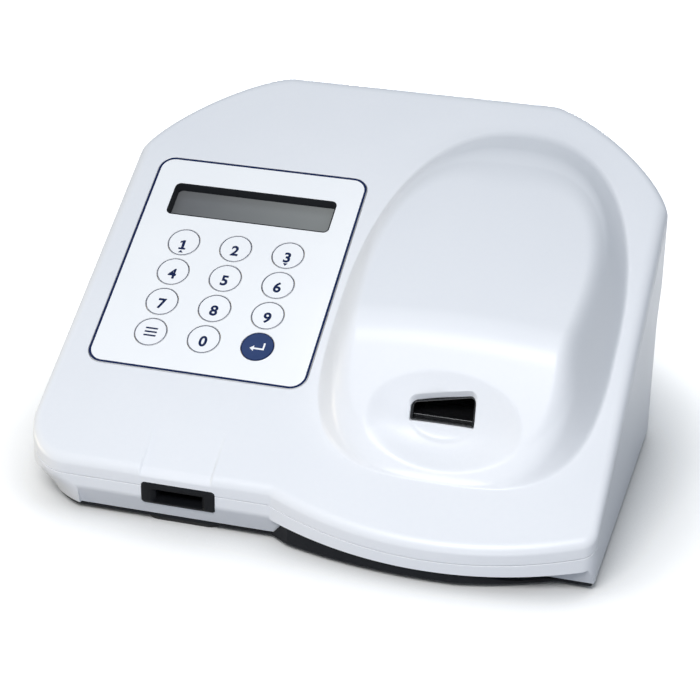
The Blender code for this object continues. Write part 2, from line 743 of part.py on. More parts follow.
def hood_ring(level, steps, inner):
    """One ring of the hood in the deck's frame, at a level from 0 at its middle to 1 at its foot."""
    half = HOOD_HALF_WIDTH - (HOOD_SIDE_WALL if inner else 0)
    ring = []
    for i in range(steps):
        angle = 2 * math.pi * i / steps
        c = math.cos(angle)
        s = math.sin(angle)
        power = HOOD_FRONT_SQUARENESS if s < 0 else HOOD_BACK_SQUARENESS
        length = hood_length(s < 0, inner)
        reach = level / (abs(c) ** power + abs(s) ** power) ** (1 / power)
        across = reach * c
        along = reach * s
        height = hood_height(across, along, level, inner)
        ring.append(Vector((HOOD_X + across * half, along * length, height)))
    return ring


def hood_solid(steps, levels, inner, sink):
    """The hood as a closed solid that reaches a little under the deck's upper face."""
    foot = [Vector((p.x, p.y, -sink)) for p in hood_ring(1, steps, inner)]
    rings = [foot]
    for k in range(levels):
        level = 1 - k / levels
        ring = hood_ring(level, steps, inner)
        if k == 0:
            foot_top = -GAP - (DECK_THICKNESS if inner else 0)
            ring = [Vector((p.x, p.y, foot_top)) for p in ring]
        rings.append(ring)
    return loft(rings)


def deck_turn():
    return (DECK_TILT, 0, 0)


def deck_origin():
    return Vector((0, PANEL_Y, deck_height(PANEL_Y)))


def scallop_solid():
    bm = bmesh.new()
    turned = Matrix.Rotation(-SCALLOP_TILT, 4, "X")
    scale = Matrix.Diagonal((SCALLOP_HALF_WIDTH, SCALLOP_HALF_DEPTH, SCALLOP_HALF_HEIGHT, 1))
    matrix = Matrix.Translation((HOOD_X, SCALLOP_Y, SCALLOP_Z)) @ turned @ scale
    bmesh.ops.create_uvsphere(bm, u_segments=28, v_segments=16, radius=1, matrix=matrix)
    return bm


def cover_boss(x, y, drop):
    """A boss with a level end that runs up into the slope of the cover."""
    outline = arc(x, y, POST_RADIUS, 0, 360, SMALL_ROUND_STEPS)[:-1]
    low = post_top(y) + PARTING_GAP
    ends = [[Vector((px, py, low)) for px, py in outline], [Vector((px, py, deck_height(py) - drop)) for px, py in outline]]
    return loft(ends)


def port_scoop():
    """A shallow trough in the cover's edge over the port, as a slanted wedge."""
    front = EDGE_Y - OVERRUN
    back = EDGE_Y + SCOOP_LENGTH
    deep = SCOOP_DEPTH + OVERRUN * SCOOP_DEPTH / SCOOP_LENGTH
    profile = [
        (front, deck_height(front) - deep),
        (back, deck_height(back)),
        (back, deck_height(back) + OVERRUN),
        (front, deck_height(front) + OVERRUN),
    ]
    ends = (PORT_X - SCOOP_HALF_WIDTH, PORT_X + SCOOP_HALF_WIDTH)
    return loft([[Vector((x, y, z)) for y, z in profile] for x in ends])


def make_top_cover(materials):
    half_gap = PARTING_GAP / 2
    rim = case_ring(lambda y: parting_height(y) + half_gap)
    cover = add_object("top_cover", loft([rim] + deck_rings(0, 0, 1)), materials["case_white"])
    origin = deck_origin()
    turn = deck_turn()
    join(cover, hood_solid(64, 14, False, HOOD_SINK), location=origin, turn=turn)
    below = case_ring(lambda y: parting_height(y) - OVERRUN, WALL)
    drop = DECK_THICKNESS * RISE_SHARE
    cut(cover, loft([below] + deck_rings(drop, WALL, 0.6)))
    cut(cover, hood_solid(40, 8, True, 2 * DECK_THICKNESS), location=origin, turn=turn)
    join(cover, panel_pad(), location=origin, turn=turn)
    for x, y in post_places():
        join(cover, cover_boss(x, y, drop / 2))
    cut(cover, scallop_solid())
    cut(cover, slot_block(GAP, SCALLOP_Y, LINER_BACK_Y + OVERRUN))
    cut(cover, panel_recess(), location=origin, turn=turn)
    cut(cover, window_block(GAP), location=origin, turn=turn)
    cut(cover, port_block(GAP, EDGE_Y - OVERRUN, EDGE_Y + WALL + OVERRUN))
    cut(cover, port_scoop())
    for x, y in post_places():
        low = post_top(y)
        cut(cover, screw_bore(x, y, low - OVERRUN, low + SCREW_BITE, SCREW_RADIUS))
    return cover


def slot_block(clearance, front, back):
    """The slot's outline, higher at its right end, pushed back from one depth to another."""
    left = SLOT_X - SLOT_WIDTH / 2 - clearance
    right = SLOT_X + SLOT_WIDTH / 2 + clearance
    low = SLOT_BOTTOM - clearance
    high = SLOT_BOTTOM + SLOT_HEIGHT + clearance
    return along_y([(left, low), (right, low), (right, high + SLOT_RISE), (left, high)], front, back)


def recess_depth():
    return OVERLAY_THICKNESS + SPACER_THICKNESS + CIRCUIT_THICKNESS + 3 * LAYER_GAP


def panel_outline(clearance):
    return rounded_rectangle(
        OVERLAY_WIDTH + 2 * clearance,
        OVERLAY_LENGTH + 2 * clearance,
        OVERLAY_RADIUS + clearance,
        PANEL_X + OVERLAY_SHIFT_X,
        OVERLAY_SHIFT_Y,
    )


def panel_recess():
    return prism(panel_outline(GAP), -recess_depth(), OVERRUN)


def panel_pad():
    return prism(panel_outline(PAD_MARGIN), -DECK_THICKNESS - PAD_THICKNESS, -DECK_THICKNESS / 2)


def window_block(clearance, low=None, high=OVERRUN):
    """The display window, or a block that fills it, in the deck's frame."""
    bottom = -DECK_THICKNESS - PAD_THICKNESS - OVERRUN if low is None else low
    half = WINDOW_WIDTH / 2 + BEZEL_WALL + clearance
    rise = WINDOW_HEIGHT / 2 + BEZEL_WALL + clearance
    x = PANEL_X + WINDOW_SHIFT_X
    y = WINDOW_SHIFT_Y
    return box((x - half, y - rise, bottom), (x + half, y + rise, high))


def key_places():
    """Name, column and row of each key, from the top left."""
    names = ["1", "2", "3", "4", "5", "6", "7", "8", "9", "option", "0", "enter"]
    places = []
    for index, name in enumerate(names):
        x = (index % 3 - 1) * KEY_COLUMN_PITCH
        y = (1.5 - index // 3) * KEY_ROW_PITCH
        places.append((f"key_{name}", x, y))
    return places


def panel_layer(name, thickness, top, hole_radius, material, parent):
    """A sheet in the deck's recess, with the display window and a hole for each key."""
    layer = add_object(name, prism(panel_outline(0), top - thickness, top), material, parent)
    cut(layer, window_block(GAP), parent=parent)
    if hole_radius:
        bm = bmesh.new()
        for _, x, y in key_places():
            foot = (PANEL_X + x, y, top - thickness - OVERRUN)
            cylinder(hole_radius, foot, (PANEL_X + x, y, top + OVERRUN), bm, ROUND_STEPS)
        cut(layer, bm, parent=parent)
    return layer


def make_keypad(materials, deck):
    spacer_top = -OVERLAY_THICKNESS - LAYER_GAP
    circuit_top = spacer_top - SPACER_THICKNESS - LAYER_GAP
    hole = KEY_RADIUS + KEY_CLEARANCE
    panel_layer("keypad_overlay", OVERLAY_THICKNESS, 0, hole, materials["overlay_white"], deck)
    panel_layer("keypad_spacer", SPACER_THICKNESS, spacer_top, hole, materials["film"], deck)
    panel_layer("keypad_circuit", CIRCUIT_THICKNESS, circuit_top, 0, materials["film"], deck)
    for name, x, y in key_places():
        material = materials["navy"] if name == "key_enter" else materials["overlay_white"]
        key = cylinder(KEY_RADIUS, (0, 0, -KEY_SKIRT), (0, 0, 0))
        place = (PANEL_X + x, y, 0)
        obj = add_object(name, key, material, deck, place)
        stem_end = circuit_top + KEY_ROOM
        stem = cylinder(KEY_STEM_RADIUS, (0, 0, stem_end), (0, 0, -KEY_SKIRT / 2), steps=SMALL_ROUND_STEPS)
        join(obj, stem, parent=deck, location=place)


def display_plate(margin, margin_y, bottom, top):
    """A rounded plate round the display's centre, in the deck's frame."""
    width = WINDOW_WIDTH + 2 * margin
    height = WINDOW_HEIGHT + 2 * margin_y
    outline = rounded_rectangle(width, height, DISPLAY_CORNER, PANEL_X + WINDOW_SHIFT_X, WINDOW_SHIFT_Y, 3)
    return prism(outline, bottom, top)


def make_display(materials, deck):
    floor = -WINDOW_DEPTH
    bezel = add_object("display_bezel", window_block(0, floor + GAP, 0), materials["black"], deck)
    half = WINDOW_WIDTH / 2
    rise = WINDOW_HEIGHT / 2
    x = PANEL_X + WINDOW_SHIFT_X
    low = (x - half, WINDOW_SHIFT_Y - rise, floor - OVERRUN)
    cut(bezel, box(low, (x + half, WINDOW_SHIFT_Y + rise, OVERRUN)), parent=deck)
    under = -DECK_THICKNESS - PAD_THICKNESS - GAP
    face = display_plate(BEZEL_WALL, BEZEL_WALL, under - GAP, floor)
    glass = add_object("display_glass", face, materials["glass"], deck)
    join(glass, display_plate(GLASS_MARGIN, GLASS_MARGIN_Y, under - GLASS_THICKNESS, under), parent=deck)
    module_top = under - GLASS_THICKNESS - GAP
    module_low = module_top - MODULE_THICKNESS
    module = display_plate(MODULE_MARGIN, MODULE_MARGIN_Y, module_low, module_top)
    add_object("display_module", module, materials["frame"], deck)
    board_top = module_low - GAP
    board_low = board_top - BOARD_THICKNESS
    board = display_plate(DISPLAY_BOARD_MARGIN, DISPLAY_BOARD_MARGIN_Y, board_low, board_top)
    add_object("display_board", board, materials["board"], deck)


def make_bottom_plate(materials):
    """Black plate under the case, with a lip that fills in under the bow and runs out towards the right."""
    low = FOOT_HEIGHT + GAP
    high = low + PLATE_THICKNESS
    front = FRONT_Y - OVERRUN
    back = CASE_DEPTH / 2 + OVERRUN
    lean = CHAMFER_INSET / (BAND_HEIGHT - BASE_BOTTOM)
    clear = 2 * GAP
    profile = [
        (front, low),
        (back, low),
        (back, high),
        (EDGE_Y + (BAND_HEIGHT - high) * lean - clear, high),
        (EDGE_Y - clear, BAND_HEIGHT - clear),
        (front, band_height(front) - clear),
    ]
    half = CASE_WIDTH
    plate = add_object(
        "bottom_plate", loft([[Vector((x, y, z)) for y, z in profile] for x in (-half, half)]), materials["black"]
    )
    outline = [leaned_in(case_ring(z, PLATE_INSET, REAR_STEP), PLATE_INSET) for z in (low - OVERRUN, BLOCK_TOP)]
    combine(plate, "INTERSECT", loft(outline))
    crease_x = BOW_X - BOW_HALF_CHORD
    cut(plate, box((-half, front - OVERRUN, 0), (crease_x, EDGE_Y + CHAMFER_INSET, BLOCK_TOP)))
    lip_top = BAND_BOW_HEIGHT + LIP_LEDGE
    side = CASE_WIDTH / 2
    slant = [(LIP_FULL_X, lip_top), (LIP_FULL_X, BAND_HEIGHT), (half, BAND_HEIGHT), (half, high), (side, high)]
    far = EDGE_Y + CHAMFER_INSET + OVERRUN
    cut(plate, along_y(slant, front - OVERRUN, far))
    start = [(crease_x - OVERRUN, high), (crease_x - OVERRUN, BLOCK_TOP), (crease_x + LIP_START, BLOCK_TOP)]
    start += [(crease_x + LIP_START, BAND_HEIGHT), (crease_x, high)]
    cut(plate, along_y(start, front - OVERRUN, far))
    setback = [(LIP_FULL_X, front), (half, front), (half, EDGE_Y + PLATE_SETBACK), (side, EDGE_Y + PLATE_SETBACK)]
    cut(plate, prism(setback, -OVERRUN, BAND_HEIGHT))
    for x, y in post_places():
        cut(plate, cylinder(SCREW_HEAD_RADIUS + CHAMFER_INSET / 4, (x, y, 0), (x, y, FLOOR_TOP)))
    return plate


def make_feet(materials):
    outline = rounded_rectangle(FOOT_LENGTH, FOOT_WIDTH, FOOT_WIDTH / 2 - GAP, steps=5)
    places = (
        ("foot_front_left", -FOOT_X, FOOT_FRONT_Y),
        ("foot_front_right", FOOT_X, FOOT_FRONT_Y),
        ("foot_back_left", -FOOT_X, FOOT_BACK_Y),
        ("foot_back_right", FOOT_X, FOOT_BACK_Y),
    )
    for name, x, y in places:
        add_object(name, prism(outline, 0, FOOT_HEIGHT), materials["rubber"], location=(x, y, 0))


def make_case_screws(materials):
    for index, (x, y) in enumerate(post_places()):
        seat = post_top(y) - SCREW_GRIP - GAP
        head = cylinder(SCREW_HEAD_RADIUS, (0, 0, -SCREW_HEAD_HEIGHT), (0, 0, 0), steps=SMALL_ROUND_STEPS)
        screw = add_object(f"case_screw_{index + 1}", head, materials["steel"], location=(x, y, seat))
        tip = SCREW_GRIP + SCREW_BITE - 2 * GAP
        shank = cylinder(SCREW_RADIUS, (0, 0, -SCREW_HEAD_HEIGHT / 2), (0, 0, tip), steps=SMALL_ROUND_STEPS)
        join(screw, shank, location=(x, y, seat))


def make_port(materials):
    back = EDGE_Y + PORT_RIM
    bezel = add_object("port_bezel", port_block(0, EDGE_Y - PORT_PROUD, back), materials["black"])
    half = PORT_MOUTH_WIDTH / 2
    top = PORT_MOUTH_BOTTOM + PORT_MOUTH_HEIGHT
    cut(bezel, base_front_chamfer(), location=(0, -PORT_PROUD, 0))
    cut(bezel, box((PORT_X - half, EDGE_Y - OVERRUN, PORT_MOUTH_BOTTOM), (PORT_X + half, back + OVERRUN, top)))
    low = (PORT_X - half - SOCKET_WALL, back + GAP, PORT_MOUTH_BOTTOM - SOCKET_WALL)
    high = (PORT_X + half + SOCKET_WALL, back + GAP + SOCKET_DEPTH, top + SOCKET_WALL)
    socket = add_object("card_socket", box(low, high), materials["black"])
    mouth_back = back + SOCKET_DEPTH - SOCKET_WALL
    mouth = box((PORT_X - half, back - OVERRUN, PORT_MOUTH_BOTTOM), (PORT_X + half, mouth_back, top))
    cut(socket, mouth)


def make_slot_liner(materials):
    liner = add_object("slot_liner", slot_block(0, LINER_FRONT_Y, LINER_BACK_Y), materials["black"])
    inner = slot_block(-LINER_WALL, LINER_FRONT_Y - OVERRUN, LINER_BACK_Y + OVERRUN)
    cut(liner, inner)


def make_chassis(materials):
    """Folded sheet on the base's bosses: a floor with a front and a back wall."""
    half = CHASSIS_HALF_WIDTH
    floor_top = CHASSIS_HEIGHT + CHASSIS_SHEET
    front = ROD_FRONT_Y - CHASSIS_SHEET
    back = ROD_BACK_Y + CHASSIS_SHEET
    floor = box((AXIS_X - half, front, CHASSIS_HEIGHT), (AXIS_X + half, back, floor_top))
    chassis = add_object("carriage_chassis", floor, materials["steel"])
    low_z = CHASSIS_HEIGHT + CHASSIS_SHEET / 2
    motor_top = ROD_HEIGHT + MOTOR_SIZE / 2
    for near, far, top in ((front, ROD_FRONT_Y, CHASSIS_WALL_TOP), (ROD_BACK_Y, back, motor_top)):
        join(chassis, box((AXIS_X - half + GAP, near, low_z), (AXIS_X + half - GAP, far, top)))
    for side in (-1, 1):
        x = AXIS_X + side * ROD_SPREAD
        hole = cylinder(
            ROD_RADIUS + GAP, (x, front - OVERRUN, ROD_HEIGHT), (x, back + OVERRUN, ROD_HEIGHT), steps=SMALL_ROUND_STEPS
        )
        cut(chassis, hole)
    start = (AXIS_X, front - OVERRUN, ROD_HEIGHT)
    cut(chassis, cylinder(BUSH_RADIUS + GAP, start, (AXIS_X, ROD_FRONT_Y + OVERRUN, ROD_HEIGHT)))
    start = (AXIS_X, ROD_BACK_Y - OVERRUN, ROD_HEIGHT)
    cut(chassis, cylinder(MOTOR_BOSS_RADIUS + GAP, start, (AXIS_X, back + OVERRUN, ROD_HEIGHT)))
    return chassis


def make_rods(materials):
    for name, side in (("guide_rod_left", -1), ("guide_rod_right", 1)):
        length = ROD_BACK_Y - ROD_FRONT_Y + 2 * CHASSIS_SHEET
        rod = cylinder(ROD_RADIUS, (0, 0, 0), (0, length, 0), steps=SMALL_ROUND_STEPS)
        place = (AXIS_X + side * ROD_SPREAD, ROD_FRONT_Y - CHASSIS_SHEET, ROD_HEIGHT)
        add_object(name, rod, materials["steel"], location=place)


def make_lead_screw(materials):
    """Screw from the front bush into the motor. Its origin is on its own axis."""
    front = ROD_FRONT_Y - CHASSIS_SHEET
    back = ROD_BACK_Y + CHASSIS_SHEET + GAP + SHAFT_ENTRY
    screw = cylinder(SCREW_SHAFT_RADIUS, (0, 0, 0), (0, back - front, 0), steps=SMALL_ROUND_STEPS)
    add_object("lead_screw", screw, materials["steel"], location=(AXIS_X, front, ROD_HEIGHT))
    start = (AXIS_X, front - BUSH_FLANGE, ROD_HEIGHT)
    bush = add_object("front_bearing", cylinder(BUSH_RADIUS, start, (AXIS_X, ROD_FRONT_Y, ROD_HEIGHT)), materials["brass"])
    flange_end = (AXIS_X, front - GAP, ROD_HEIGHT)
    join(bush, cylinder(BUSH_RADIUS + BUSH_FLANGE, start, flange_end))
    bore_end = (AXIS_X, ROD_FRONT_Y + OVERRUN, ROD_HEIGHT)
    bore_start = (AXIS_X, front - BUSH_FLANGE - OVERRUN, ROD_HEIGHT)
    cut(bush, cylinder(SCREW_SHAFT_RADIUS + BEARING_CLEARANCE, bore_start, bore_end, steps=SMALL_ROUND_STEPS))


def make_motor(materials):
    front = ROD_BACK_Y + CHASSIS_SHEET + GAP
    half = MOTOR_SIZE / 2
    low = (AXIS_X - half, front, ROD_HEIGHT - half)
    motor = add_object(
        "stepper_motor", box(low, (AXIS_X + half, front + MOTOR_LENGTH, ROD_HEIGHT + half)), materials["frame"]
    )
    boss_start = (AXIS_X, front - MOTOR_BOSS_HEIGHT, ROD_HEIGHT)
    join(motor, cylinder(MOTOR_BOSS_RADIUS, boss_start, (AXIS_X, front + OVERRUN, ROD_HEIGHT)))
    bore = cylinder(
        SCREW_SHAFT_RADIUS + BEARING_CLEARANCE,
        (AXIS_X, front - MOTOR_BOSS_HEIGHT - OVERRUN, ROD_HEIGHT),
        (AXIS_X, front + SHAFT_ENTRY + OVERRUN, ROD_HEIGHT),
        steps=SMALL_ROUND_STEPS,
    )
    cut(motor, bore)


def make_tray(materials):
    """Tray that holds the cartridge, over the block that runs on the rods."""
    front = TRAY_REST_Y
    back = front + TRAY_LENGTH
    low = (AXIS_X - TRAY_HALF_WIDTH, front, TRAY_BOTTOM)
    tray = add_object("cartridge_tray", box(low, (AXIS_X + TRAY_HALF_WIDTH, back, TRAY_TOP)), materials["black"])
    half = TRAY_POCKET_WIDTH / 2
    pocket_low = (AXIS_X - half, front - OVERRUN, TRAY_POCKET_FLOOR)
    cut(tray, box(pocket_low, (AXIS_X + half, back - TRAY_BACK_STOP, TRAY_TOP + OVERRUN)))
    block_front = front + BLOCK_START
    block_back = block_front + BLOCK_LENGTH
    low = (AXIS_X - BLOCK_HALF_WIDTH, block_front, BLOCK_BOTTOM)
    join(tray, box(low, (AXIS_X + BLOCK_HALF_WIDTH, block_back, TRAY_BOTTOM + OVERRUN / 2)))
    holes = (
        (-ROD_SPREAD, ROD_RADIUS + BEARING_CLEARANCE),
        (0, NUT_RADIUS + GAP),
        (ROD_SPREAD, ROD_RADIUS + BEARING_CLEARANCE),
    )
    for shift, radius in holes:
        start = (AXIS_X + shift, block_front - OVERRUN, ROD_HEIGHT)
        cut(tray, cylinder(radius, start, (AXIS_X + shift, block_back + OVERRUN, ROD_HEIGHT), steps=SMALL_ROUND_STEPS))
    seat = block_back + GAP
    nut = add_object(
        "carriage_nut",
        cylinder(NUT_RADIUS, (AXIS_X, seat - NUT_LENGTH, ROD_HEIGHT), (AXIS_X, seat + GAP, ROD_HEIGHT)),
        materials["brass"],
    )
    flange_end = (AXIS_X, seat + NUT_FLANGE_THICKNESS, ROD_HEIGHT)
    join(nut, cylinder(NUT_FLANGE_RADIUS, (AXIS_X, seat, ROD_HEIGHT), flange_end))
    bore_start = (AXIS_X, seat - NUT_LENGTH - OVERRUN, ROD_HEIGHT)
    bore_end = (AXIS_X, seat + NUT_FLANGE_THICKNESS + OVERRUN, ROD_HEIGHT)
    cut(nut, cylinder(SCREW_SHAFT_RADIUS + BEARING_CLEARANCE, bore_start, bore_end, steps=SMALL_ROUND_STEPS))


def make_optics(materials):
    """Arch over the tray that carries the optical head, with its lens, lamp and detector."""
    leg_out = CHASSIS_HALF_WIDTH - GAP
    floor = CHASSIS_HEIGHT + CHASSIS_SHEET + GAP
    back = ARCH_Y + ARCH_LENGTH
    arch = add_object(
        "optics_bracket", box((AXIS_X - leg_out, ARCH_Y, floor), (AXIS_X + leg_out, back, ARCH_TOP)), materials["steel"]
    )
    leg_in = leg_out - ARCH_LEG
    low = (AXIS_X - leg_in, ARCH_Y - OVERRUN, floor - OVERRUN)
    cut(arch, box(low, (AXIS_X + leg_in, back + OVERRUN, ARCH_TOP - ARCH_LEG)))
    middle = ARCH_Y + ARCH_LENGTH / 2
    hole_low = (AXIS_X, middle, ARCH_TOP - ARCH_LEG - OVERRUN)
    cut(arch, cylinder(LENS_RADIUS + GAP, hole_low, (AXIS_X, middle, ARCH_TOP + OVERRUN)))
    lens_top = ARCH_TOP
    lens = cylinder(LENS_RADIUS, (AXIS_X, middle, lens_top - LENS_THICKNESS), (AXIS_X, middle, lens_top))
    add_object("objective_lens", lens, materials["glass"])
    head_low = ARCH_TOP + GAP
    head_top = head_low + HEAD_HEIGHT
    half = HEAD_HALF_WIDTH
    head_front = ARCH_Y + OVERRUN / 2
    head_back = back - OVERRUN / 2
    head = box((AXIS_X - half, head_front, head_low), (AXIS_X + half, head_back, head_top))
    add_object("optics_head", head, materials["black"])
    board_low = head_top + GAP
    board = box((AXIS_X - half, head_front, board_low), (AXIS_X + half, head_back, board_low + DETECTOR_BOARD_THICKNESS))
    add_object("detector_board", board, materials["board"])
    lamp_z = head_low + HEAD_HEIGHT / 2
    lamp_y = head_back + GAP
    lamp = cylinder(LAMP_RADIUS, (AXIS_X, lamp_y, lamp_z), (AXIS_X, lamp_y + LAMP_LENGTH, lamp_z))
    lamp = add_object("lamp_module", lamp, materials["frame"])
    rim = cylinder(LAMP_RADIUS + LAMP_FLANGE, (AXIS_X, lamp_y, lamp_z), (AXIS_X, lamp_y + LAMP_FLANGE, lamp_z))
    join(lamp, rim)


def make_main_board(materials):
    top = MAIN_BOTTOM + MAIN_THICKNESS
    outline = [
        (MAIN_LEFT, MAIN_FRONT),
        (MAIN_RIGHT, MAIN_FRONT),
        (MAIN_RIGHT, MAIN_BACK),
        (MAIN_LEFT + MAIN_CORNER_X, MAIN_BACK),
        (MAIN_LEFT, MAIN_BACK - MAIN_CORNER_Y),
    ]
    board = add_object("main_board", prism(outline, MAIN_BOTTOM, top), materials["board"])
    sink = MAIN_THICKNESS / 2
    middle_x = (MAIN_LEFT + MAIN_RIGHT) / 2
    middle_y = (MAIN_FRONT + MAIN_BACK) / 2
    half = CHIP_SIZE / 2
    low = (middle_x - half, middle_y - half, top - sink)
    join(board, box(low, (middle_x + half, middle_y + half, top + CHIP_HEIGHT)))
    header_y = MAIN_FRONT + 3 * HEADER_WIDTH
    low = (middle_x, header_y, top - sink)
    join(board, box(low, (middle_x + HEADER_LENGTH, header_y + HEADER_WIDTH, top + HEADER_HEIGHT)))
    coil_x = MAIN_RIGHT - 3 * COIL_RADIUS
    coil_y = MAIN_BACK - 8 * COIL_RADIUS
    join(board, cylinder(COIL_RADIUS, (coil_x, coil_y, top - sink), (coil_x, coil_y, top + COIL_HEIGHT)))
    buzzer_place = (middle_x, MAIN_BACK - 5 * BUZZER_RADIUS, top + GAP)
    can = cylinder(BUZZER_RADIUS, (0, 0, 0), (0, 0, BUZZER_HEIGHT))
    buzzer = add_object("buzzer", can, materials["black"], location=buzzer_place)
    port = cylinder(
        BUZZER_HOLE_RADIUS, (0, 0, BUZZER_HEIGHT / 2), (0, 0, BUZZER_HEIGHT + OVERRUN), steps=SMALL_ROUND_STEPS
    )
    cut(buzzer, port, location=buzzer_place)
    cell_place = (MAIN_LEFT + 2 * CELL_RADIUS, middle_y, top + GAP)
    cell = cylinder(CELL_RADIUS, (0, 0, 0), (0, 0, CELL_HEIGHT))
    add_object("clock_battery", cell, materials["steel"], location=cell_place)


def make_rear_connectors(materials):
    face = CASE_DEPTH / 2 - REAR_STEP
    low_z = MAIN_BOTTOM + MAIN_THICKNESS + GAP
    half = JACK_WIDTH / 2
    jack_box = box((JACK_X - half, face - JACK_LENGTH, low_z), (JACK_X + half, face, low_z + JACK_HEIGHT))
    jack = add_object("power_jack", jack_box, materials["black"])
    z = low_z + JACK_HEIGHT / 2
    cut(jack, cylinder(JACK_BORE_RADIUS, (JACK_X, face - JACK_BORE_DEPTH, z), (JACK_X, face + OVERRUN, z)))
    pin_start = (JACK_X, face - JACK_BORE_DEPTH - OVERRUN, z)
    join(jack, cylinder(JACK_PIN_RADIUS, pin_start, (JACK_X, face - OVERRUN, z), steps=SMALL_ROUND_STEPS))

    half = SERIAL_WIDTH / 2
    body = box((SERIAL_X - half, face - SERIAL_LENGTH, low_z), (SERIAL_X + half, face, low_z + SERIAL_HEIGHT))
    serial = add_object("serial_port", body, materials["steel"])
    z = low_z + SERIAL_HEIGHT / 2
    rise = SERIAL_SHELL_HEIGHT / 2
    wide = SERIAL_SHELL_TOP_WIDTH / 2
    narrow = SERIAL_SHELL_BOTTOM_WIDTH / 2
    mouth = [
        (SERIAL_X - narrow, z - rise),
        (SERIAL_X + narrow, z - rise),
        (SERIAL_X + wide, z + rise),
        (SERIAL_X - wide, z + rise),
    ]
    cut(serial, along_y(mouth, face - SERIAL_SHELL_DEPTH, face + OVERRUN))

    half = USB_WIDTH / 2
    body = box((USB_X - half, face - USB_LENGTH, low_z), (USB_X + half, face, low_z + USB_HEIGHT))
    usb = add_object("usb_port", body, materials["steel"])
    z = low_z + USB_HEIGHT / 2
    wide = USB_MOUTH_WIDTH / 2
    rise = USB_MOUTH_HEIGHT / 2
    cut(usb, box((USB_X - wide, face - USB_DEPTH, z - rise), (USB_X + wide, face + OVERRUN, z + rise)))
    wide = USB_TONGUE_WIDTH / 2
    rise = USB_TONGUE_HEIGHT / 2
    join(usb, box((USB_X - wide, face - USB_DEPTH - OVERRUN, z - rise), (USB_X + wide, face - OVERRUN, z + rise)))


def make_power_switch(materials):
    face = CASE_DEPTH / 2 - REAR_STEP
    half = SWITCH_WIDTH / 2
    rise = SWITCH_HEIGHT / 2
    low = (SWITCH_X - half, face - SWITCH_DEPTH, SWITCH_Z - rise)
    flange_end = face + GAP + SWITCH_FLANGE
    body = add_object("switch_body", box(low, (SWITCH_X + half, flange_end - GAP, SWITCH_Z + rise)), materials["black"])
    m = SWITCH_FLANGE_MARGIN
    low = (SWITCH_X - half - m, face + GAP, SWITCH_Z - rise - m)
    join(body, box(low, (SWITCH_X + half + m, flange_end, SWITCH_Z + rise + m)))
    well_half = half - SWITCH_WELL_WALL
    well_rise = rise - SWITCH_WELL_WALL
    low = (SWITCH_X - well_half, face - SWITCH_WELL_DEPTH, SWITCH_Z - well_rise)
    cut(body, box(low, (SWITCH_X + well_half, flange_end + OVERRUN, SWITCH_Z + well_rise)))
    pivot = (SWITCH_X, face - ROCKER_PIVOT_DEPTH, SWITCH_Z)
    reach = half - GAP
    pin_hole = cylinder(ROCKER_PIVOT_RADIUS + GAP, (-half - m, 0, 0), (half + m, 0, 0), steps=SMALL_ROUND_STEPS)
    cut(body, pin_hole, location=pivot)
    tall = well_rise - 3 * ROCKER_CLEARANCE
    deep = ROCKER_PIVOT_RADIUS * 2
    ahead = ROCKER_PIVOT_DEPTH + SWITCH_FLANGE
    dip = ROCKER_REACH * math.tan(ROCKER_TIP)
    profile = [
        (-deep, -tall / 2),
        (ahead - deep, -tall),
        (ahead + dip, -tall),
        (ahead - dip, 0),
        (ahead + dip, tall),
        (ahead - deep, tall),
        (-deep, tall / 2),
    ]
    wide = well_half - ROCKER_CLEARANCE
    turn = (ROCKER_TIP, 0, 0)
    shape = loft([[Vector((x, y, z)) for y, z in profile] for x in (-wide, wide)])
    rocker = add_object("power_rocker", shape, materials["black"], location=pivot, turn=turn)
    pin = cylinder(ROCKER_PIVOT_RADIUS, (-reach, 0, 0), (reach, 0, 0), steps=SMALL_ROUND_STEPS)
    join(rocker, pin, location=pivot, turn=turn)


def main():
    for obj in list(bpy.data.objects):
        bpy.data.objects.remove(obj)
    materials = make_materials()
    deck = bpy.data.objects.new("deck_frame", None)
    deck.location = deck_origin()
    deck.rotation_euler = deck_turn()
    bpy.context.collection.objects.link(deck)
    make_base_shell(materials)
    make_top_cover(materials)
    make_bottom_plate(materials)
    make_feet(materials)
    make_case_screws(materials)
    make_keypad(materials, deck)
    make_display(materials, deck)
    make_port(materials)
    make_slot_liner(materials)
    make_chassis(materials)
    make_rods(materials)
    make_lead_screw(materials)
    make_motor(materials)
    make_tray(materials)
    make_optics(materials)
    make_main_board(materials)
    make_rear_connectors(materials)
    make_power_switch(materials)


main()
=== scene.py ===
"""Studio picture of a bench-top rapid test reader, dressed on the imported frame.

Metres, +Z up, -Y is the front. The deck's frame has X across, S up the slope and H off the deck.
"""

import math

import bmesh
import bpy
from mathutils import Matrix, Vector
from mathutils.bvhtree import BVHTree


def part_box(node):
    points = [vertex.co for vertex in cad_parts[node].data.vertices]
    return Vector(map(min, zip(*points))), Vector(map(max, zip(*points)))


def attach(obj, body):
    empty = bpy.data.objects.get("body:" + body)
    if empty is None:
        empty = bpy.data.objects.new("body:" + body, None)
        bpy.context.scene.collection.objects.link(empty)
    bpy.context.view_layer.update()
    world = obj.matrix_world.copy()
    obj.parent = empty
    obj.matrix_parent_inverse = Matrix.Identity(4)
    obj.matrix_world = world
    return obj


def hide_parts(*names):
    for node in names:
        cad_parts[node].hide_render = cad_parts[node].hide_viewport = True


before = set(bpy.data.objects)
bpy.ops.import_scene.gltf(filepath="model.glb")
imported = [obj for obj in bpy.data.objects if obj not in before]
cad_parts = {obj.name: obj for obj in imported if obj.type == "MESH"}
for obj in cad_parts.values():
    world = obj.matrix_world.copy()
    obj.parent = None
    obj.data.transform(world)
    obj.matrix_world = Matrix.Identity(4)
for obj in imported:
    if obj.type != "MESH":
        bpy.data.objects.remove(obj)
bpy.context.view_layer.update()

# General
GAP = 0.0003
OVERRUN = 0.002
SMALLEST = 1e-9
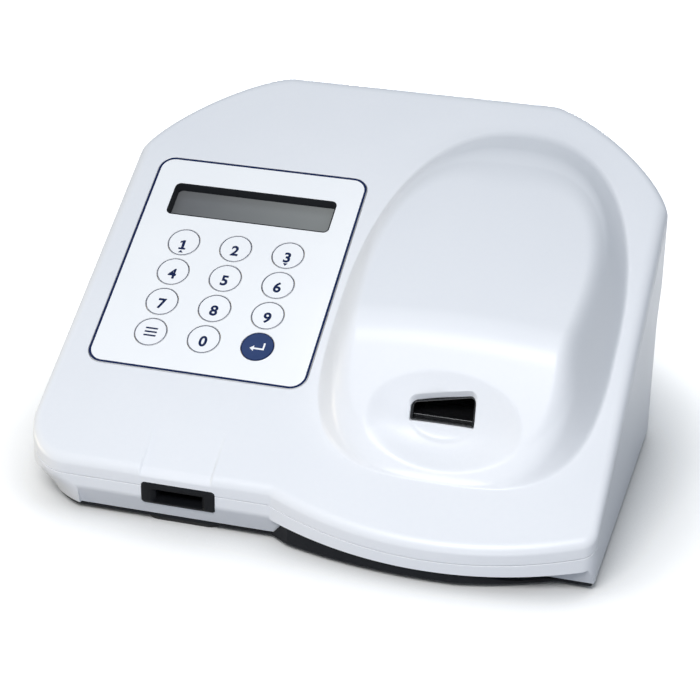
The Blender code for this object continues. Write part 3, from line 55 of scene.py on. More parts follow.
SHARP_ANGLE = math.radians(35)
CORNER_STEPS = 8
CIRCLE_STEPS = 64
EASE_STEPS = 4
MOUTH_STEPS = 8
FINE = 1.0
COARSE = 0.4
INNER_ROLL_SHARE = 0.6
INNER_ROLL_STEPS = 4

# Case
CASE_WIDTH = 0.2728
CASE_DEPTH = 0.2292
BASE_BOTTOM = 0.0043
WALL = 0.003
FLOOR_TOP = BASE_BOTTOM + 0.003
BOW_RISE = 0.013
BOW_X = CASE_WIDTH * 0.2236
BOW_HALF_CHORD = CASE_WIDTH * 0.27309
FRONT_LEFT_RADIUS = 0.023
FRONT_RIGHT_RADIUS = 0.008
BACK_RADIUS_X = CASE_WIDTH * 0.2456
BACK_RADIUS_Y = CASE_DEPTH * 0.2269
BACK_ROUNDNESS = 1.34
DECK_TILT = math.radians(30)
DECK_FRONT_HEIGHT = 0.0283
DECK_THICKNESS = 0.003
ROLL_FRONT = 0.0035
ROLL_BACK = 0.008
ROLL_STEPS = 10
RIM_HEIGHT = 0.0083
PARTING_GAP = 0.0004
EDGE_BREAK = 0.0003
BAND_HEIGHT = 0.0131
BAND_BOW_HEIGHT = 0.0074
CHAMFER_INSET = 0.004
CHAMFER_START = -CASE_WIDTH / 2 + 0.0294
LEFT_LEAN = 0.005
LEFT_LEAN_TOP = 0.018
LEFT_LEAN_POWER = 1.25
FOOT_CORNER_RADIUS = 0.036
FRONT_CORNER_STEPS = 24
BOW_STEPS = 60
NOSE_STEPS = 16
BACK_STEPS = 48
LEAN_STEPS = 5
REAR_STEP_STEPS = 6
REAR_STEP = 0.008
REAR_STEP_LOW = 0.062
REAR_STEP_HIGH = 0.084
BLOCK_TOP = 0.17

FRONT_Y = -CASE_DEPTH / 2
EDGE_Y = FRONT_Y + BOW_RISE
BOW_RADIUS = (BOW_HALF_CHORD**2 + BOW_RISE**2) / (2 * BOW_RISE)
SLOPE = math.tan(DECK_TILT)
RISE_SHARE = 1 / math.cos(DECK_TILT)
CHAMFER_LEAN = CHAMFER_INSET / (BAND_HEIGHT - BASE_BOTTOM)
BAND_DROP = (BAND_HEIGHT - BAND_BOW_HEIGHT) / BOW_RISE

PLATE_LOW = 0.0027
PLATE_HIGH = 0.0040
PLATE_INSET = 0.0012
PLATE_SETBACK = 0.012
PLATE_SETBACK_POWER = 1.3
PLATE_STEPS = 16
# The plate's black lip under the bow is painted shade: it stands in for the dark gap under the overhanging
# bow, and these numbers shape it to that gap.
SHADE_LIP_FULL_X = 0.075
SHADE_LIP_END_X = 0.102
SHADE_LIP_LEDGE = 0.0006
SHADE_LIP_START = 0.0130

# Keypad and display
PANEL_X = -0.0674
PANEL_Y = -0.0121
OVERLAY_WIDTH = 0.1098
OVERLAY_LENGTH = 0.1283
OVERLAY_RADIUS = 0.008
OVERLAY_SHIFT_X = 0.0006
OVERLAY_SHIFT_Y = 0.0158
OVERLAY_STEPS = 10
RECESS_DEPTH = 0.00295
RECESS_EASE = 0.0004
PAD_MARGIN = 0.004
PAD_BOTTOM = -0.006
KEY_RADIUS = 0.008
KEY_COLUMN_PITCH = 0.027
KEY_ROW_PITCH = 0.01836
WINDOW_WIDTH = 0.0839
WINDOW_HEIGHT = 0.0189
WINDOW_SHIFT_X = 0.0004
WINDOW_SHIFT_Y = 0.05405
WINDOW_WALL = 0.0015
WINDOW_DEPTH = 0.0057
BEZEL_WALL = 0.0012
SHEET_THICKNESS = 0.001
KEY_HOLE_RADIUS = 0.0083
WINDOW_RADIUS = 0.0024
WINDOW_STEPS = 12
PRINT_THICKNESS = 0.00005
SHEET_EDGE = 0.0003
SHEET_EDGE_SHARE = 0.3
WINDOW_LINE = 0.0005
LINE_GAP = 0.0001
DISPLAY_LEFT = PANEL_X - WINDOW_WIDTH / 2
DISPLAY_RIGHT = PANEL_X + WINDOW_WIDTH / 2
KEY_NAMES = ("1", "2", "3", "4", "5", "6", "7", "8", "9", "option", "0", "enter")

# Hood
HOOD_X = 0.0596
HOOD_HALF_WIDTH = 0.067
HOOD_FRONT_LENGTH = 0.086
HOOD_BACK_LENGTH = 0.119
HOOD_FRONT_SQUARENESS = 3.3
HOOD_BACK_SQUARENESS = 2.3
HOOD_RIDGE_S = -0.030
HOOD_RIDGE_HEIGHT = 0.0375
HOOD_TOP_FALL_SHARE = 0.165
HOOD_CROWN = 0.003
HOOD_SIDE_RISE = 0.150
HOOD_FRONT_SLOPE = 0.61
HOOD_BACK_RISE = 0.075
HOOD_EDGE_BLEND = 0.011
HOOD_FLANK_BLEND_RISE = 0.020
HOOD_FOOT_BLEND = 0.0022
HOOD_FOOT_LEVEL = 1.035
HOOD_TOP_LEVEL = 0.012
HOOD_LEVEL_POWER = 1.35
HOOD_STEPS = 300
HOOD_LEVELS = 110
HOOD_INNER_STEPS = 48
HOOD_INNER_LEVELS = (1.0, 0.96, 0.88, 0.8, 0.7, 0.6, 0.5, 0.4, 0.3, 0.2, 0.1)
HOOD_RIDGE_BLEND = 0.0075
HOOD_SIDE_WALL = 0.004
HOOD_FRONT_WALL = 0.021
HOOD_TOP_WALL = 0.0032

# Slot and dish
SLOT_X = 0.058
SLOT_WIDTH = 0.0292
SLOT_BOTTOM = 0.0570
SLOT_HEIGHT = 0.0110
SLOT_RISE = 0.0048
SLOT_EDGE_ROUND = 0.0007
BROW_HEIGHT = 0.0030
BROW_DEPTH = 0.0020
SLOT_TOP_CORNER = 0.0024
SLOT_CORNER = 0.0006
SLOT_POINT_STEP = 0.0012
SLOT_STEPS = 6
SILL_STEPS = 8
LINER_WALL = 0.0008
LINER_FRONT_Y = -0.0625
LINER_LOW_RECESS = 0.0004
LINER_TOP_RECESS = 0.0026
SILL_RADIUS = 0.0003
SILL_RISE = 0.0009
SILL_SETBACK = 0.0026
LINER_BACK_Y = -0.0505
DISH_X = HOOD_X
DISH_Y = -0.0796
DISH_Z = 0.0644
DISH_HALF_WIDTH = 0.039
DISH_HALF_DEPTH = 0.014
DISH_HALF_HEIGHT = 0.025
DISH_TILT = math.radians(29)
DISH_EDGE_BLEND = 0.0014
DISH_TOP_BLEND = 0.006
DISH_BLEND_SHARE = 0.5
DISH_FADE_LOW = 0.056
DISH_FADE_HIGH = 0.086
DISH_SOFT_S = -0.086
DISH_SOFT_LENGTH = 0.03
LEDGE_HALF_WIDTH = 0.0175
LEDGE_REACH = 0.0095
LEDGE_DEPTH = 0.0008
LEDGE_S = -0.0585
LEDGE_SOFTNESS = 0.24

# Rear
REAR_CLEARANCE = 0.0004
SWITCH_WIDTH = 0.0192
SWITCH_HEIGHT = 0.0128
SCREW_WELL_DEPTH = 0.0026
SCREW_WELL_RADIUS = 0.0035
SCREW_WELL_STEPS = 32

# Sockets in the rear wall
SERIAL_TOP_WIDTH = 0.0170
SERIAL_BOTTOM_WIDTH = 0.0150
SERIAL_MOUTH_HEIGHT = 0.0083
SERIAL_DEPTH = 0.0055
SERIAL_CORNER = 0.0014
SERIAL_FILL = 0.0012
SHELL_WALL = 0.0008
SHELL_PROUD = 0.0014
PIN_RADIUS = 0.0005
PIN_PITCH = 0.00277
PIN_ROW = 0.00142
PIN_STEPS = 20
PIN_NOSE = (0, 20, 40, 60, 78)
STANDOFF_SPREAD = 0.0125
STANDOFF_RADIUS = 0.0025
STANDOFF_BORE = 0.0013
STANDOFF_CHAMFER = 0.0003
STANDOFF_PROUD = 0.0024
STANDOFF_DEEP = 0.0002
STANDOFF_STEPS = 24
USB_DEPTH = 0.009
TONGUE_WIDTH = 0.0060
TONGUE_HEIGHT = 0.0036
TONGUE_CORNER = 0.0006
TONGUE_SETBACK = 0.0014
JACK_DEPTH = 0.010
JACK_PIN_RADIUS = 0.0011
JACK_PIN_SETBACK = 0.0018

# Port
PORT_X = -0.0573
PORT_WIDTH = 0.0355
PORT_BOTTOM = 0.0113
PORT_HEIGHT = 0.0107
PORT_RADIUS = 0.0016
PORT_STEPS = 5
FRAME_STEPS = 6
FRAME_PROUD = 0.0006
FRAME_BEVEL = 0.0005
FRAME_BACK = 0.0062
BEVEL_SHARE = 0.3
FLARE_SHARE = 0.8
FLARE_BEVEL_SHARE = 0.4
MOUTH_WIDTH = 0.0225
MOUTH_BOTTOM = 0.0130
MOUTH_HEIGHT = 0.0050
MOUTH_FLARE = 0.0022
MOUTH_FLARE_DEPTH = 0.0022
MOUTH_FLARE_TALL = 0.9
MOUTH_FLARE_LIFT = 0.3
MOUTH_RADIUS = 0.0004
SCOOP_LEFT = 0.0193
SCOOP_RIGHT = 0.0168
SCOOP_LENGTH = 0.021
SCOOP_DEPTH = 0.0013
SCOOP_EDGE = 0.0017
SCOOP_LIFT = 0.00003
SCOOP_STEPS = 8
SCOOP_SIDE_STEPS = 4

# Printed marks
DIGIT_SIZE = 0.0081
DIGIT_WEIGHT = 0.032
DIGIT_WIDTH = 0.98
DIGIT_DROP = 0.0016
DIGIT_STEPS = 8
RING_WIDTH = 0.0004
RING_MARGIN = 0.0001
BORDER_WIDTH = 0.0012
BORDER_MARGIN = 0.00005
PANEL_STEPS = 24
ARROW_DROP = 0.0056
ARROW_WIDTH = 0.0024
ARROW_HEIGHT = 0.0016
ONE_HALF_FOOT = 0.0018
ONE_LINE = 0.0010
ONE_FLAG_SHARE = 0.7
ONE_STEM_LEFT = -0.0006
ONE_STEM_RIGHT = 0.0008
ONE_HEIGHT = 0.0057
ONE_FLAG_DROP = 0.0008
BAR_WIDTH = 0.0062
BAR_HEIGHT = 0.0009
BAR_PITCH = 0.0021
BAR_ROUNDNESS = 0.2
RETURN_HEAD = 0.0020
RETURN_HEAD_SHARE = 0.8
RETURN_REACH = 0.0036
RETURN_LINE = 0.0009
RETURN_RISE = 0.0024

# Stage and lamps
FLOOR_GLOW = 0.54
FLOOR_NEAR = 0.1
FLOOR_FAR = 0.36
SHADOW_REACH = 0.07
SHADOW_DEPTH = 3.0
SHADOW_SAMPLES = 8
FLOOR_BOUNCE = (0.13, 0.15, 0.19, 1)
KEY_POWER = 5.25
BACK_POWER = 5.0
FRONT_POWER = 1.0
AMBIENT = 0.465

# Finishes: name, colour, roughness, metallic, then tints, sheen, relief and further values
FINISHES = {
    "white": (
        ("moulded_white", (0.812, 0.818, 0.835), 0.34),
        [((0.06, 2), (0.832, 0.836, 0.85)), ((0.0024, 2), (0.798, 0.805, 0.826), 0.3)],
        ((0.03, 2), 0.31, 0.36),
        ((0.0011, 2), 0.000003, 0.2),
        {"Specular IOR Level": 0.4},
    ),
    "film": (
        ("panel_film", (0.925, 0.925, 0.925), 0.38),
        [((0.03,), (0.94, 0.94, 0.935))],
        ((0.002, 4), 0.3, 0.42),
        ((0.0003, 2), 0.000008, 0.4),
        {},
    ),
    "navy": (
        ("printed_navy", (0.006, 0.014, 0.062), 0.4),
        [((0.0008,), (0.010, 0.021, 0.08))],
        ((0.002, 4), 0.3, 0.42),
        ((0.0003, 2), 0.000006, 0.4),
        {"Specular IOR Level": 0.15},
    ),
    "key_navy": (
        ("key_navy", (0.028, 0.052, 0.145), 0.45),
        [((0.004,), (0.034, 0.060, 0.16))],
        ((0.002, 4), 0.34, 0.46),
        ((0.0003, 2), 0.000008, 0.4),
        {"Specular IOR Level": 0.2},
    ),
    "black": (
        ("moulded_black", (0.006, 0.0065, 0.008), 0.4),
        [((0.004, 4), (0.010, 0.0105, 0.012))],
        ((0.0015, 4), 0.32, 0.5),
        ((0.0004, 3), 0.00002, 0.4),
        {"Specular IOR Level": 0.1},
    ),
    "gloss_black": (
        ("gloss_black", (0.006, 0.006, 0.007), 0.16),
        [((0.003, 4), (0.01, 0.01, 0.011))],
        ((0.0012, 4), 0.1, 0.24),
        ((0.0009, 3), 0.00002, 0.4),
        {"Specular IOR Level": 0.8},
    ),
    "rubber": (
        ("foot_rubber", (0.02, 0.02, 0.02), 0.85),
        [((0.003, 4), (0.035, 0.034, 0.033))],
        ((0.001,), 0.75, 0.95),
        ((0.0006, 3), 0.00006, 0.6),
        {},
    ),
    "display": (
        ("display_face", (0.150, 0.153, 0.157), 0.28),
        [((0.012, 2), (0.162, 0.165, 0.166))],
        ((0.01,), 0.14, 0.26),
        ((0.0005, 2), 0.000004, 0.3),
        {"Specular IOR Level": 0.25},
    ),
    "lens": (
        ("lens_glass", (0.75, 0.8, 0.82), 0.06),
        [((0.004,), (0.7, 0.78, 0.8))],
        ((0.002,), 0.04, 0.1),
        None,
        {"Transmission Weight": 0.9},
    ),
    "board": (
        ("solder_mask", (0.012, 0.10, 0.045), 0.4),
        [((0.0016, 5, (1, 4, 1)), (0.02, 0.16, 0.07))],
        ((0.001,), 0.3, 0.5),
        ((0.0012, 4, (4, 1, 1)), 0.00004, 0.6),
        {},
    ),
    "steel": (
        ("plated_steel", (0.56, 0.57, 0.59), 0.3, 1.0),
        [((0.004, 5), (0.48, 0.49, 0.5))],
        ((0.0007, 5, (0.12, 1, 1)), 0.2, 0.42),
        ((0.0003, 4, (0.1, 1, 1)), 0.00001, 0.5),
        {},
    ),
    "brass": (
        ("turned_brass", (0.70, 0.50, 0.19), 0.28, 1.0),
        [((0.003, 5), (0.60, 0.42, 0.16))],
        ((0.0006, 5, (1, 0.1, 1)), 0.2, 0.4),
        ((0.0003, 4, (1, 8, 1)), 0.00001, 0.5),
        {},
    ),
    "amber": (
        ("amber_film", (0.50, 0.36, 0.14), 0.4),
        [((0.006,), (0.56, 0.42, 0.18))],
        ((0.002,), 0.3, 0.5),
        ((0.0005,), 0.00001, 0.4),
        {},
    ),
    "dark": (
        ("coated_metal", (0.12, 0.125, 0.135), 0.4, 0.6),
        [((0.004, 4), (0.16, 0.165, 0.175))],
        ((0.0015, 4), 0.32, 0.5),
        ((0.0004, 3), 0.00002, 0.5),
        {},
    ),
}
WORN = {
    "black": ((0.025, 0.027, 0.032), 0.6),
    "steel": ((0.72, 0.72, 0.72), 0.7),
    "dark": ((0.4, 0.4, 0.42), 0.5),
}
# Painted reflection: the display's face turns to this lighter grey towards its right end.
DISPLAY_GLARE_COLOR = (0.27, 0.278, 0.268)
NOISE_MIDDLE = (0.3, 0.7)
EDGE_POINTINESS = (0.53, 0.62)

# Nodes of each finish
NODE_FINISHES = {
    "film": [f"key_{k}" for k in range(10)] + ["key_option"],
    "key_navy": ["key_enter"],
    "black": ["card_socket", "optics_head", "buzzer", "power_jack", "switch_body", "power_rocker"],
    "gloss_black": ["cartridge_tray"],
    "rubber": ["foot_front_left", "foot_front_right", "foot_back_left", "foot_back_right"],
    "display": ["display_glass"],
    "lens": ["objective_lens"],
    "board": ["display_board", "detector_board", "main_board"],
    "steel": [f"case_screw_{k}" for k in range(1, 5)]
    + ["carriage_chassis", "guide_rod_left", "guide_rod_right", "lead_screw"]
    + ["optics_bracket", "clock_battery", "serial_port", "usb_port"],
    "brass": ["front_bearing", "carriage_nut"],
    "amber": ["keypad_spacer", "keypad_circuit"],
    "dark": ["display_module", "stepper_motor", "lamp_module"],
}

# Lamps: place, target, size, power, colour
LAMPS = {
    "key": ((0.02, -0.69, 0.68), (0.02, -0.04, 0.06), (0.45, 0.3), KEY_POWER, (0.985, 0.985, 1.0)),
    "low_front": ((0.12, -1.0, 0.06), (0.02, -0.1, 0.03), (0.5, 0.08), FRONT_POWER, (0.93, 0.96, 1.0)),
    "back": ((-0.2, 1.2, 0.12), (0, 0.1, 0.06), (0.6, 0.2), BACK_POWER, (0.94, 0.97, 1.0)),
    "warm_left": ((-0.5, -0.16, 0.02), (-0.13, -0.06, 0.02), (0.2, 0.05), 0.5, (1, 0.84, 0.55)),
}
AMBIENT_COLOR = (0.78, 0.88, 1.0, 1)
FLOOR_SIZE = 6
FLOOR_COLOR = (0.8, 0.79, 0.77, 1)

# The camera's focal length is in pixels of a square picture
CAMERA_PLACE = (0.2433, -0.8815, 0.4939)
CAMERA_RIGHT = (0.961, 0.278, 0.015)
CAMERA_UP = (-0.133, 0.413, 0.901)
FOCAL_PIXELS = 2082.1
PICTURE_PIXELS = 700
SENSOR_WIDTH = 36


def deck_height(y):
    return DECK_FRONT_HEIGHT + (y - EDGE_Y) * SLOPE


def parting_height(y):
    return deck_height(y) - RIM_HEIGHT


def deck_matrix():
    """From the deck's frame (X, S, H) to the world."""
    return Matrix.Translation((0, PANEL_Y, deck_height(PANEL_Y))) @ Matrix.Rotation(DECK_TILT, 4, "X")


DECK = deck_matrix()


def clamp(value):
    return min(max(value, 0), 1)


def eased(share):
    """A share from 0 to 1 with soft ends."""
    return (3 - 2 * share) * share**2


def prism(profile, ends, axis):
    """A solid with one profile between two places on an axis."""
    rings = []
    for end in ends:
        if axis == "X":
            rings.append([Vector((end, a, b)) for a, b in profile])
        elif axis == "Y":
            rings.append([Vector((a, end, b)) for a, b in profile])
        else:
            rings.append([Vector((a, b, end)) for a, b in profile])
    return loft(rings)


def place(piece, body, slot, node=None):
    """Puts a piece on its body and hides the node that it stands for. The slot is not used."""
    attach(piece, body)
    if node:
        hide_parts(node)


def add_piece(finishes, name, bm, finish, matrix, body="case"):
    """A new piece with its finish, put on its body."""
    place(mesh_object(name, bm, finishes[finish], matrix), body, finish)


def mesh_object(name, bm, material=None, matrix=None):
    """Turns a bmesh into an object with outward faces, smooth except at sharp edges."""
    if matrix is not None:
        bm.transform(matrix)
    bmesh.ops.recalc_face_normals(bm, faces=bm.faces)
    mesh = bpy.data.meshes.new(name)
    bm.to_mesh(mesh)
    bm.free()
    mesh.shade_smooth()
    mesh.set_sharp_from_angle(angle=SHARP_ANGLE)
    if material:
        mesh.materials.append(material)
    obj = bpy.data.objects.new(name, mesh)
    bpy.context.collection.objects.link(obj)
    return obj


def apply_modifiers(obj):
    """Bakes the modifiers into the mesh."""
    bpy.context.view_layer.update()
    evaluated = obj.evaluated_get(bpy.context.evaluated_depsgraph_get())
    mesh = bpy.data.meshes.new_from_object(evaluated)
    obj.modifiers.clear()
    obj.data = mesh


def carve(obj, cutters, operation="DIFFERENCE"):
    """Cuts shapes out of obj, or joins them to it, and removes the helpers."""
    for cutter in cutters:
        helper = mesh_object(f"{obj.name}_helper", cutter)
        modifier = obj.modifiers.new("shape", "BOOLEAN")
        modifier.operation = operation
        modifier.solver = "EXACT"
        modifier.object = helper
        apply_modifiers(obj)
        bpy.data.objects.remove(helper)


def finish_shading(obj):
    """Even shading across big flat faces and their rounded edges."""
    obj.data.shade_smooth()
    obj.data.set_sharp_from_angle(angle=SHARP_ANGLE)
    modifier = obj.modifiers.new("even_normals", "WEIGHTED_NORMAL")
    modifier.keep_sharp = True


def bridge(bm, loops):
    """Faces between loops of equal point count."""
    count = len(loops[0])
    for lower, upper in zip(loops, loops[1:]):
        for i in range(count):
            j = (i + 1) % count
            bm.faces.new((lower[i], lower[j], upper[j], upper[i]))


def loft(rings, bm=None, caps=True):
    bm = bm or bmesh.new()
    loops = [[bm.verts.new(point) for point in ring] for ring in rings]
    bridge(bm, loops)
    if caps:
        bm.faces.new(loops[0][::-1])
        bm.faces.new(loops[-1])
    return bm


def box(low, high):
    bm = bmesh.new()
    low = Vector(low)
    high = Vector(high)
    matrix = Matrix.Translation((low + high) / 2) @ Matrix.Diagonal((*(high - low), 1))
    bmesh.ops.create_cube(bm, size=1, matrix=matrix)
    return bm


def arc(cx, cy, radius, start, end, steps, roundness=2.0, radius_y=None):
    """Points of a corner. A roundness under 2 cuts the corner flatter than a circle."""
    deep = radius if radius_y is None else radius_y
    points = []
    for i in range(steps + 1):
        angle = math.radians(start + (end - start) * i / steps)
        c = math.cos(angle)
        s = math.sin(angle)
        x = math.copysign(abs(c) ** (2 / roundness), c)
        y = math.copysign(abs(s) ** (2 / roundness), s)
        points.append((cx + radius * x, cy + deep * y))
    return points


def rounded_rectangle(width, height, radius, cx=0, cy=0, steps=CORNER_STEPS):
    x = width / 2 - radius
    y = height / 2 - radius
    outline = []
    for px, py, start in [(x, -y, -90), (x, y, 0), (-x, y, 90), (-x, -y, 180)]:
        outline += arc(cx + px, cy + py, radius, start, start + 90, steps)
    return outline


def case_outline(inset, back_shift, fine):
    """Plan of the case, from the left end of the front corner round to the left side."""
    half = CASE_WIDTH / 2
    back = CASE_DEPTH / 2 - back_shift
    bow_y = FRONT_Y + BOW_RADIUS
    bow = BOW_RADIUS - inset
    front = EDGE_Y + inset
    left_x = -half + FRONT_LEFT_RADIUS
    left_y = EDGE_Y + FRONT_LEFT_RADIUS
    outline = arc(left_x, left_y, FRONT_LEFT_RADIUS - inset, 180, 270, round(FRONT_CORNER_STEPS * fine))
    crease_x = BOW_X - math.sqrt(bow**2 - (bow_y - front) ** 2)
    start = math.degrees(math.atan2(front - bow_y, crease_x - BOW_X))
    nose_x = half - FRONT_RIGHT_RADIUS
    nose_y = bow_y - math.sqrt((BOW_RADIUS - FRONT_RIGHT_RADIUS) ** 2 - (nose_x - BOW_X) ** 2)
    end = math.degrees(math.atan2(nose_y - bow_y, nose_x - BOW_X))
    outline += arc(BOW_X, bow_y, bow, start, end, round(BOW_STEPS * fine))
    nose = arc(nose_x, nose_y, FRONT_RIGHT_RADIUS - inset, end, 0, round(NOSE_STEPS * fine))
    outline += nose[1:]
    corner_x = half - BACK_RADIUS_X
    corner_y = back - BACK_RADIUS_Y
    wide = BACK_RADIUS_X - inset
    deep = BACK_RADIUS_Y - inset
    steps = round(BACK_STEPS * fine)
    outline += arc(corner_x, corner_y, wide, 0, 90, steps, BACK_ROUNDNESS, deep)
    outline += arc(-corner_x, corner_y, wide, 90, 180, steps, BACK_ROUNDNESS, deep)
    return outline


def case_ring(height, inset, back_shift, fine):
    outline = case_outline(inset, back_shift, fine)
    if callable(height):
        return [Vector((x, y, height(y))) for x, y in outline]
    return [Vector((x, y, height)) for x, y in outline]


def leaned_in(ring, share, inset, fine):
    """The ring with its left side and front-left corner drawn in, for the lean of the wall's foot."""
    straight = CASE_WIDTH / 2 - FRONT_LEFT_RADIUS
    leaned = []
    for p in ring:
        part = clamp((-p.x - straight) / FRONT_LEFT_RADIUS)
        leaned.append(Vector((p.x + LEFT_LEAN * part * share, p.y, p.z)))
    middle_x = LEFT_LEAN + FOOT_CORNER_RADIUS - CASE_WIDTH / 2
    middle_y = EDGE_Y + FOOT_CORNER_RADIUS
    steps = round(FRONT_CORNER_STEPS * fine)
    corner = arc(middle_x, middle_y, FOOT_CORNER_RADIUS - inset, 180, 270, steps)
    for index, (x, y) in enumerate(corner):
        leaned[index] = ring[index].lerp(Vector((x, y, ring[index].z)), share)
    return leaned


def roll_radius(y):
    share = (y - EDGE_Y) / (CASE_DEPTH / 2 - EDGE_Y)
    return ROLL_FRONT + (ROLL_BACK - ROLL_FRONT) * clamp(share)


def roll_rings(drop, inset, roll_share, steps, fine):
    """Rings of the rolled edge between the rim's side and the deck."""
    radii = [roll_radius(y) * roll_share for _, y in case_outline(0, 0, fine)]
    rings = []
    for k in range(steps + 1):
        angle = math.radians(90 * k / steps)
        outlines = {}
        points = []
        for index, radius in enumerate(radii):
            inward = round(inset + radius * (1 - math.cos(angle)), 7)
            if inward not in outlines:
                outlines[inward] = case_outline(inward, 0, fine)
            x, y = outlines[inward][index]
            points.append(Vector((x, y, deck_height(y) - drop - radius * (1 - math.sin(angle)))))
        rings.append(points)
    return rings


def smooth_min(a, b, blend):
    near = max(blend - abs(a - b), 0)
    return min(a, b) - near * near / max(4 * blend, GAP)


def smooth_max(a, b, blend):
    near = max(blend - abs(a - b), 0)
    return max(a, b) + near * near / (4 * blend)


def hood_length(front, inner):
    if front:
        return HOOD_FRONT_LENGTH - (HOOD_FRONT_WALL if inner else 0)
    return HOOD_BACK_LENGTH - (HOOD_SIDE_WALL if inner else 0)


def hood_height(across, along, level, inner):
    """Height of the hood off the deck. Across and along are shares of its plan, level is 1 at its foot."""
    front = along < 0
    length = hood_length(front, inner)
    lowered = HOOD_TOP_WALL if inner else 0
    s = along * length
    top = HOOD_RIDGE_HEIGHT - (s - HOOD_RIDGE_S) * HOOD_TOP_FALL_SHARE - HOOD_CROWN * across**2 - lowered
    if front:
        flank = (1 - level) * HOOD_SIDE_RISE
        top = smooth_min(top, (s + length) * HOOD_FRONT_SLOPE, HOOD_RIDGE_BLEND)
    else:
        side = abs(across) ** HOOD_BACK_SQUARENESS
        end = abs(along) ** HOOD_BACK_SQUARENESS
        flank = (1 - level) * (side * HOOD_SIDE_RISE + end * HOOD_BACK_RISE) / max(side + end, SMALLEST)
    return smooth_min(top, flank, HOOD_EDGE_BLEND * clamp(flank / HOOD_FLANK_BLEND_RISE))


def dish_floor(x, s):
    """Height of the dish's ellipsoid over the deck and half its thickness there, or None beside it."""
    start = DECK @ Vector((x, s, 0))
    turn = Matrix.Rotation(DISH_TILT, 3, "X")
    origin = turn @ (start - Vector((DISH_X, DISH_Y, DISH_Z)))
    along = turn @ (DECK.to_3x3() @ Vector((0, 0, 1)))
    size = Vector((DISH_HALF_WIDTH, DISH_HALF_DEPTH, DISH_HALF_HEIGHT))
    o = Vector([p / q for p, q in zip(origin, size)])
    d = Vector([p / q for p, q in zip(along, size)])
    a = d.dot(d)
    b = 2 * o.dot(d)
    c = o.dot(o) - 1
    inside = b * b - 4 * a * c
    if inside <= 0:
        return None
    return (-b - math.sqrt(inside)) / (2 * a), math.sqrt(inside) / (2 * a)


def ledge_depth(x, s):
    """The shallow step in the dish's floor under the slot."""
    reach = math.hypot((x - SLOT_X) / LEDGE_HALF_WIDTH, (s - LEDGE_S) / LEDGE_REACH)
    return LEDGE_DEPTH * eased(clamp((1 - reach) / LEDGE_SOFTNESS))


def hood_surface(x, s, height):
    """The hood's height with the dish taken out of its front."""
    found = dish_floor(x, s)
    if found is None:
        return height
    floor, half = found
    share = clamp((s - DISH_SOFT_S) / DISH_SOFT_LENGTH)
    blend = DISH_EDGE_BLEND + (DISH_TOP_BLEND - DISH_EDGE_BLEND) * eased(share)
    sunk = smooth_min(height, floor, min(blend, half * DISH_BLEND_SHARE))
    raised = (DECK @ Vector((x, s, height))).z - DISH_FADE_LOW
    fade = clamp(raised / (DISH_FADE_HIGH - DISH_FADE_LOW))
    return height + (sunk - height) * (1 - eased(fade)) - ledge_depth(x, s)


def hood_ring(level, steps, inner):
    half = HOOD_HALF_WIDTH - (HOOD_SIDE_WALL if inner else 0)
    ring = []
    for i in range(steps):
        angle = 2 * math.pi * i / steps
        c = math.cos(angle)
        s = math.sin(angle)
        power = HOOD_FRONT_SQUARENESS if s < 0 else HOOD_BACK_SQUARENESS
        reach = level / (abs(c) ** power + abs(s) ** power) ** (1 / power)
        across = reach * c
        along = reach * s
        x = HOOD_X + across * half
        y = along * hood_length(s < 0, inner)
        height = hood_height(across, along, level, inner)
        ring.append(Vector((x, y, height)))
    return ring


def hood_levels(count):
    """Levels from the foot inwards, closer together over the foot and the flank."""
    levels = []
    for k in range(count):
        share = k / (count - 1)
        levels.append(HOOD_FOOT_LEVEL * (1 - share**HOOD_LEVEL_POWER) + HOOD_TOP_LEVEL * share)
    return levels


def cover_outer():
    """The cover's outer face as one closed surface: rim, rolled edge, deck and hood."""
    bm = bmesh.new()
    half_gap = PARTING_GAP / 2
    rim = case_ring(lambda y: parting_height(y) + half_gap, EDGE_BREAK, 0, FINE)
    side = case_ring(lambda y: parting_height(y) + half_gap + EDGE_BREAK, 0, 0, FINE)
    loft([rim, side] + roll_rings(0, 0, 1, ROLL_STEPS, FINE), bm, caps=False)
    bm.verts.ensure_lookup_table()
    count = len(rim)
    bm.faces.new(bm.verts[:count][::-1])
    outer = bm.verts[len(bm.verts) - count :]
    steps = round(HOOD_STEPS * FINE)
    rings = [hood_ring(level, steps, False) for level in hood_levels(round(HOOD_LEVELS * FINE))]
    loops = []
    for k, ring in enumerate(rings):
        points = []
        for p in ring:
            height = 0 if k == 0 else smooth_max(hood_surface(p.x, p.y, p.z), 0, HOOD_FOOT_BLEND)
            points.append(bm.verts.new(DECK @ Vector((p.x, p.y, height))))
        loops.append(points)
    bridge(bm, loops)
    bm.faces.new(loops[-1])
    edges = ring_edges(bm, outer) + ring_edges(bm, loops[0])
    up = DECK.to_3x3() @ Vector((0, 0, 1))
    bmesh.ops.triangle_fill(bm, use_beauty=True, use_dissolve=False, edges=edges, normal=up)
    return bm


def ring_edges(bm, verts):
    edges = []
    for a, b in zip(verts, list(verts[1:]) + [verts[0]]):
        edges.append(bm.edges.get((a, b)) or bm.edges.new((a, b)))
    return edges


def hood_inner():
    rings = []
    for level in HOOD_INNER_LEVELS:
        ring = hood_ring(level, HOOD_INNER_STEPS, True)
        if level == 1:
            rings.append([Vector((p.x, p.y, -2 * DECK_THICKNESS)) for p in ring])
            ring = [Vector((p.x, p.y, -GAP - DECK_THICKNESS)) for p in ring]
        rings.append(ring)
    return loft(rings)


def panel_outline(clearance, steps=OVERLAY_STEPS):
    width = OVERLAY_WIDTH + 2 * clearance
    height = OVERLAY_LENGTH + 2 * clearance
    middle = PANEL_X + OVERLAY_SHIFT_X
    return rounded_rectangle(width, height, OVERLAY_RADIUS + clearance, middle, OVERLAY_SHIFT_Y, steps)


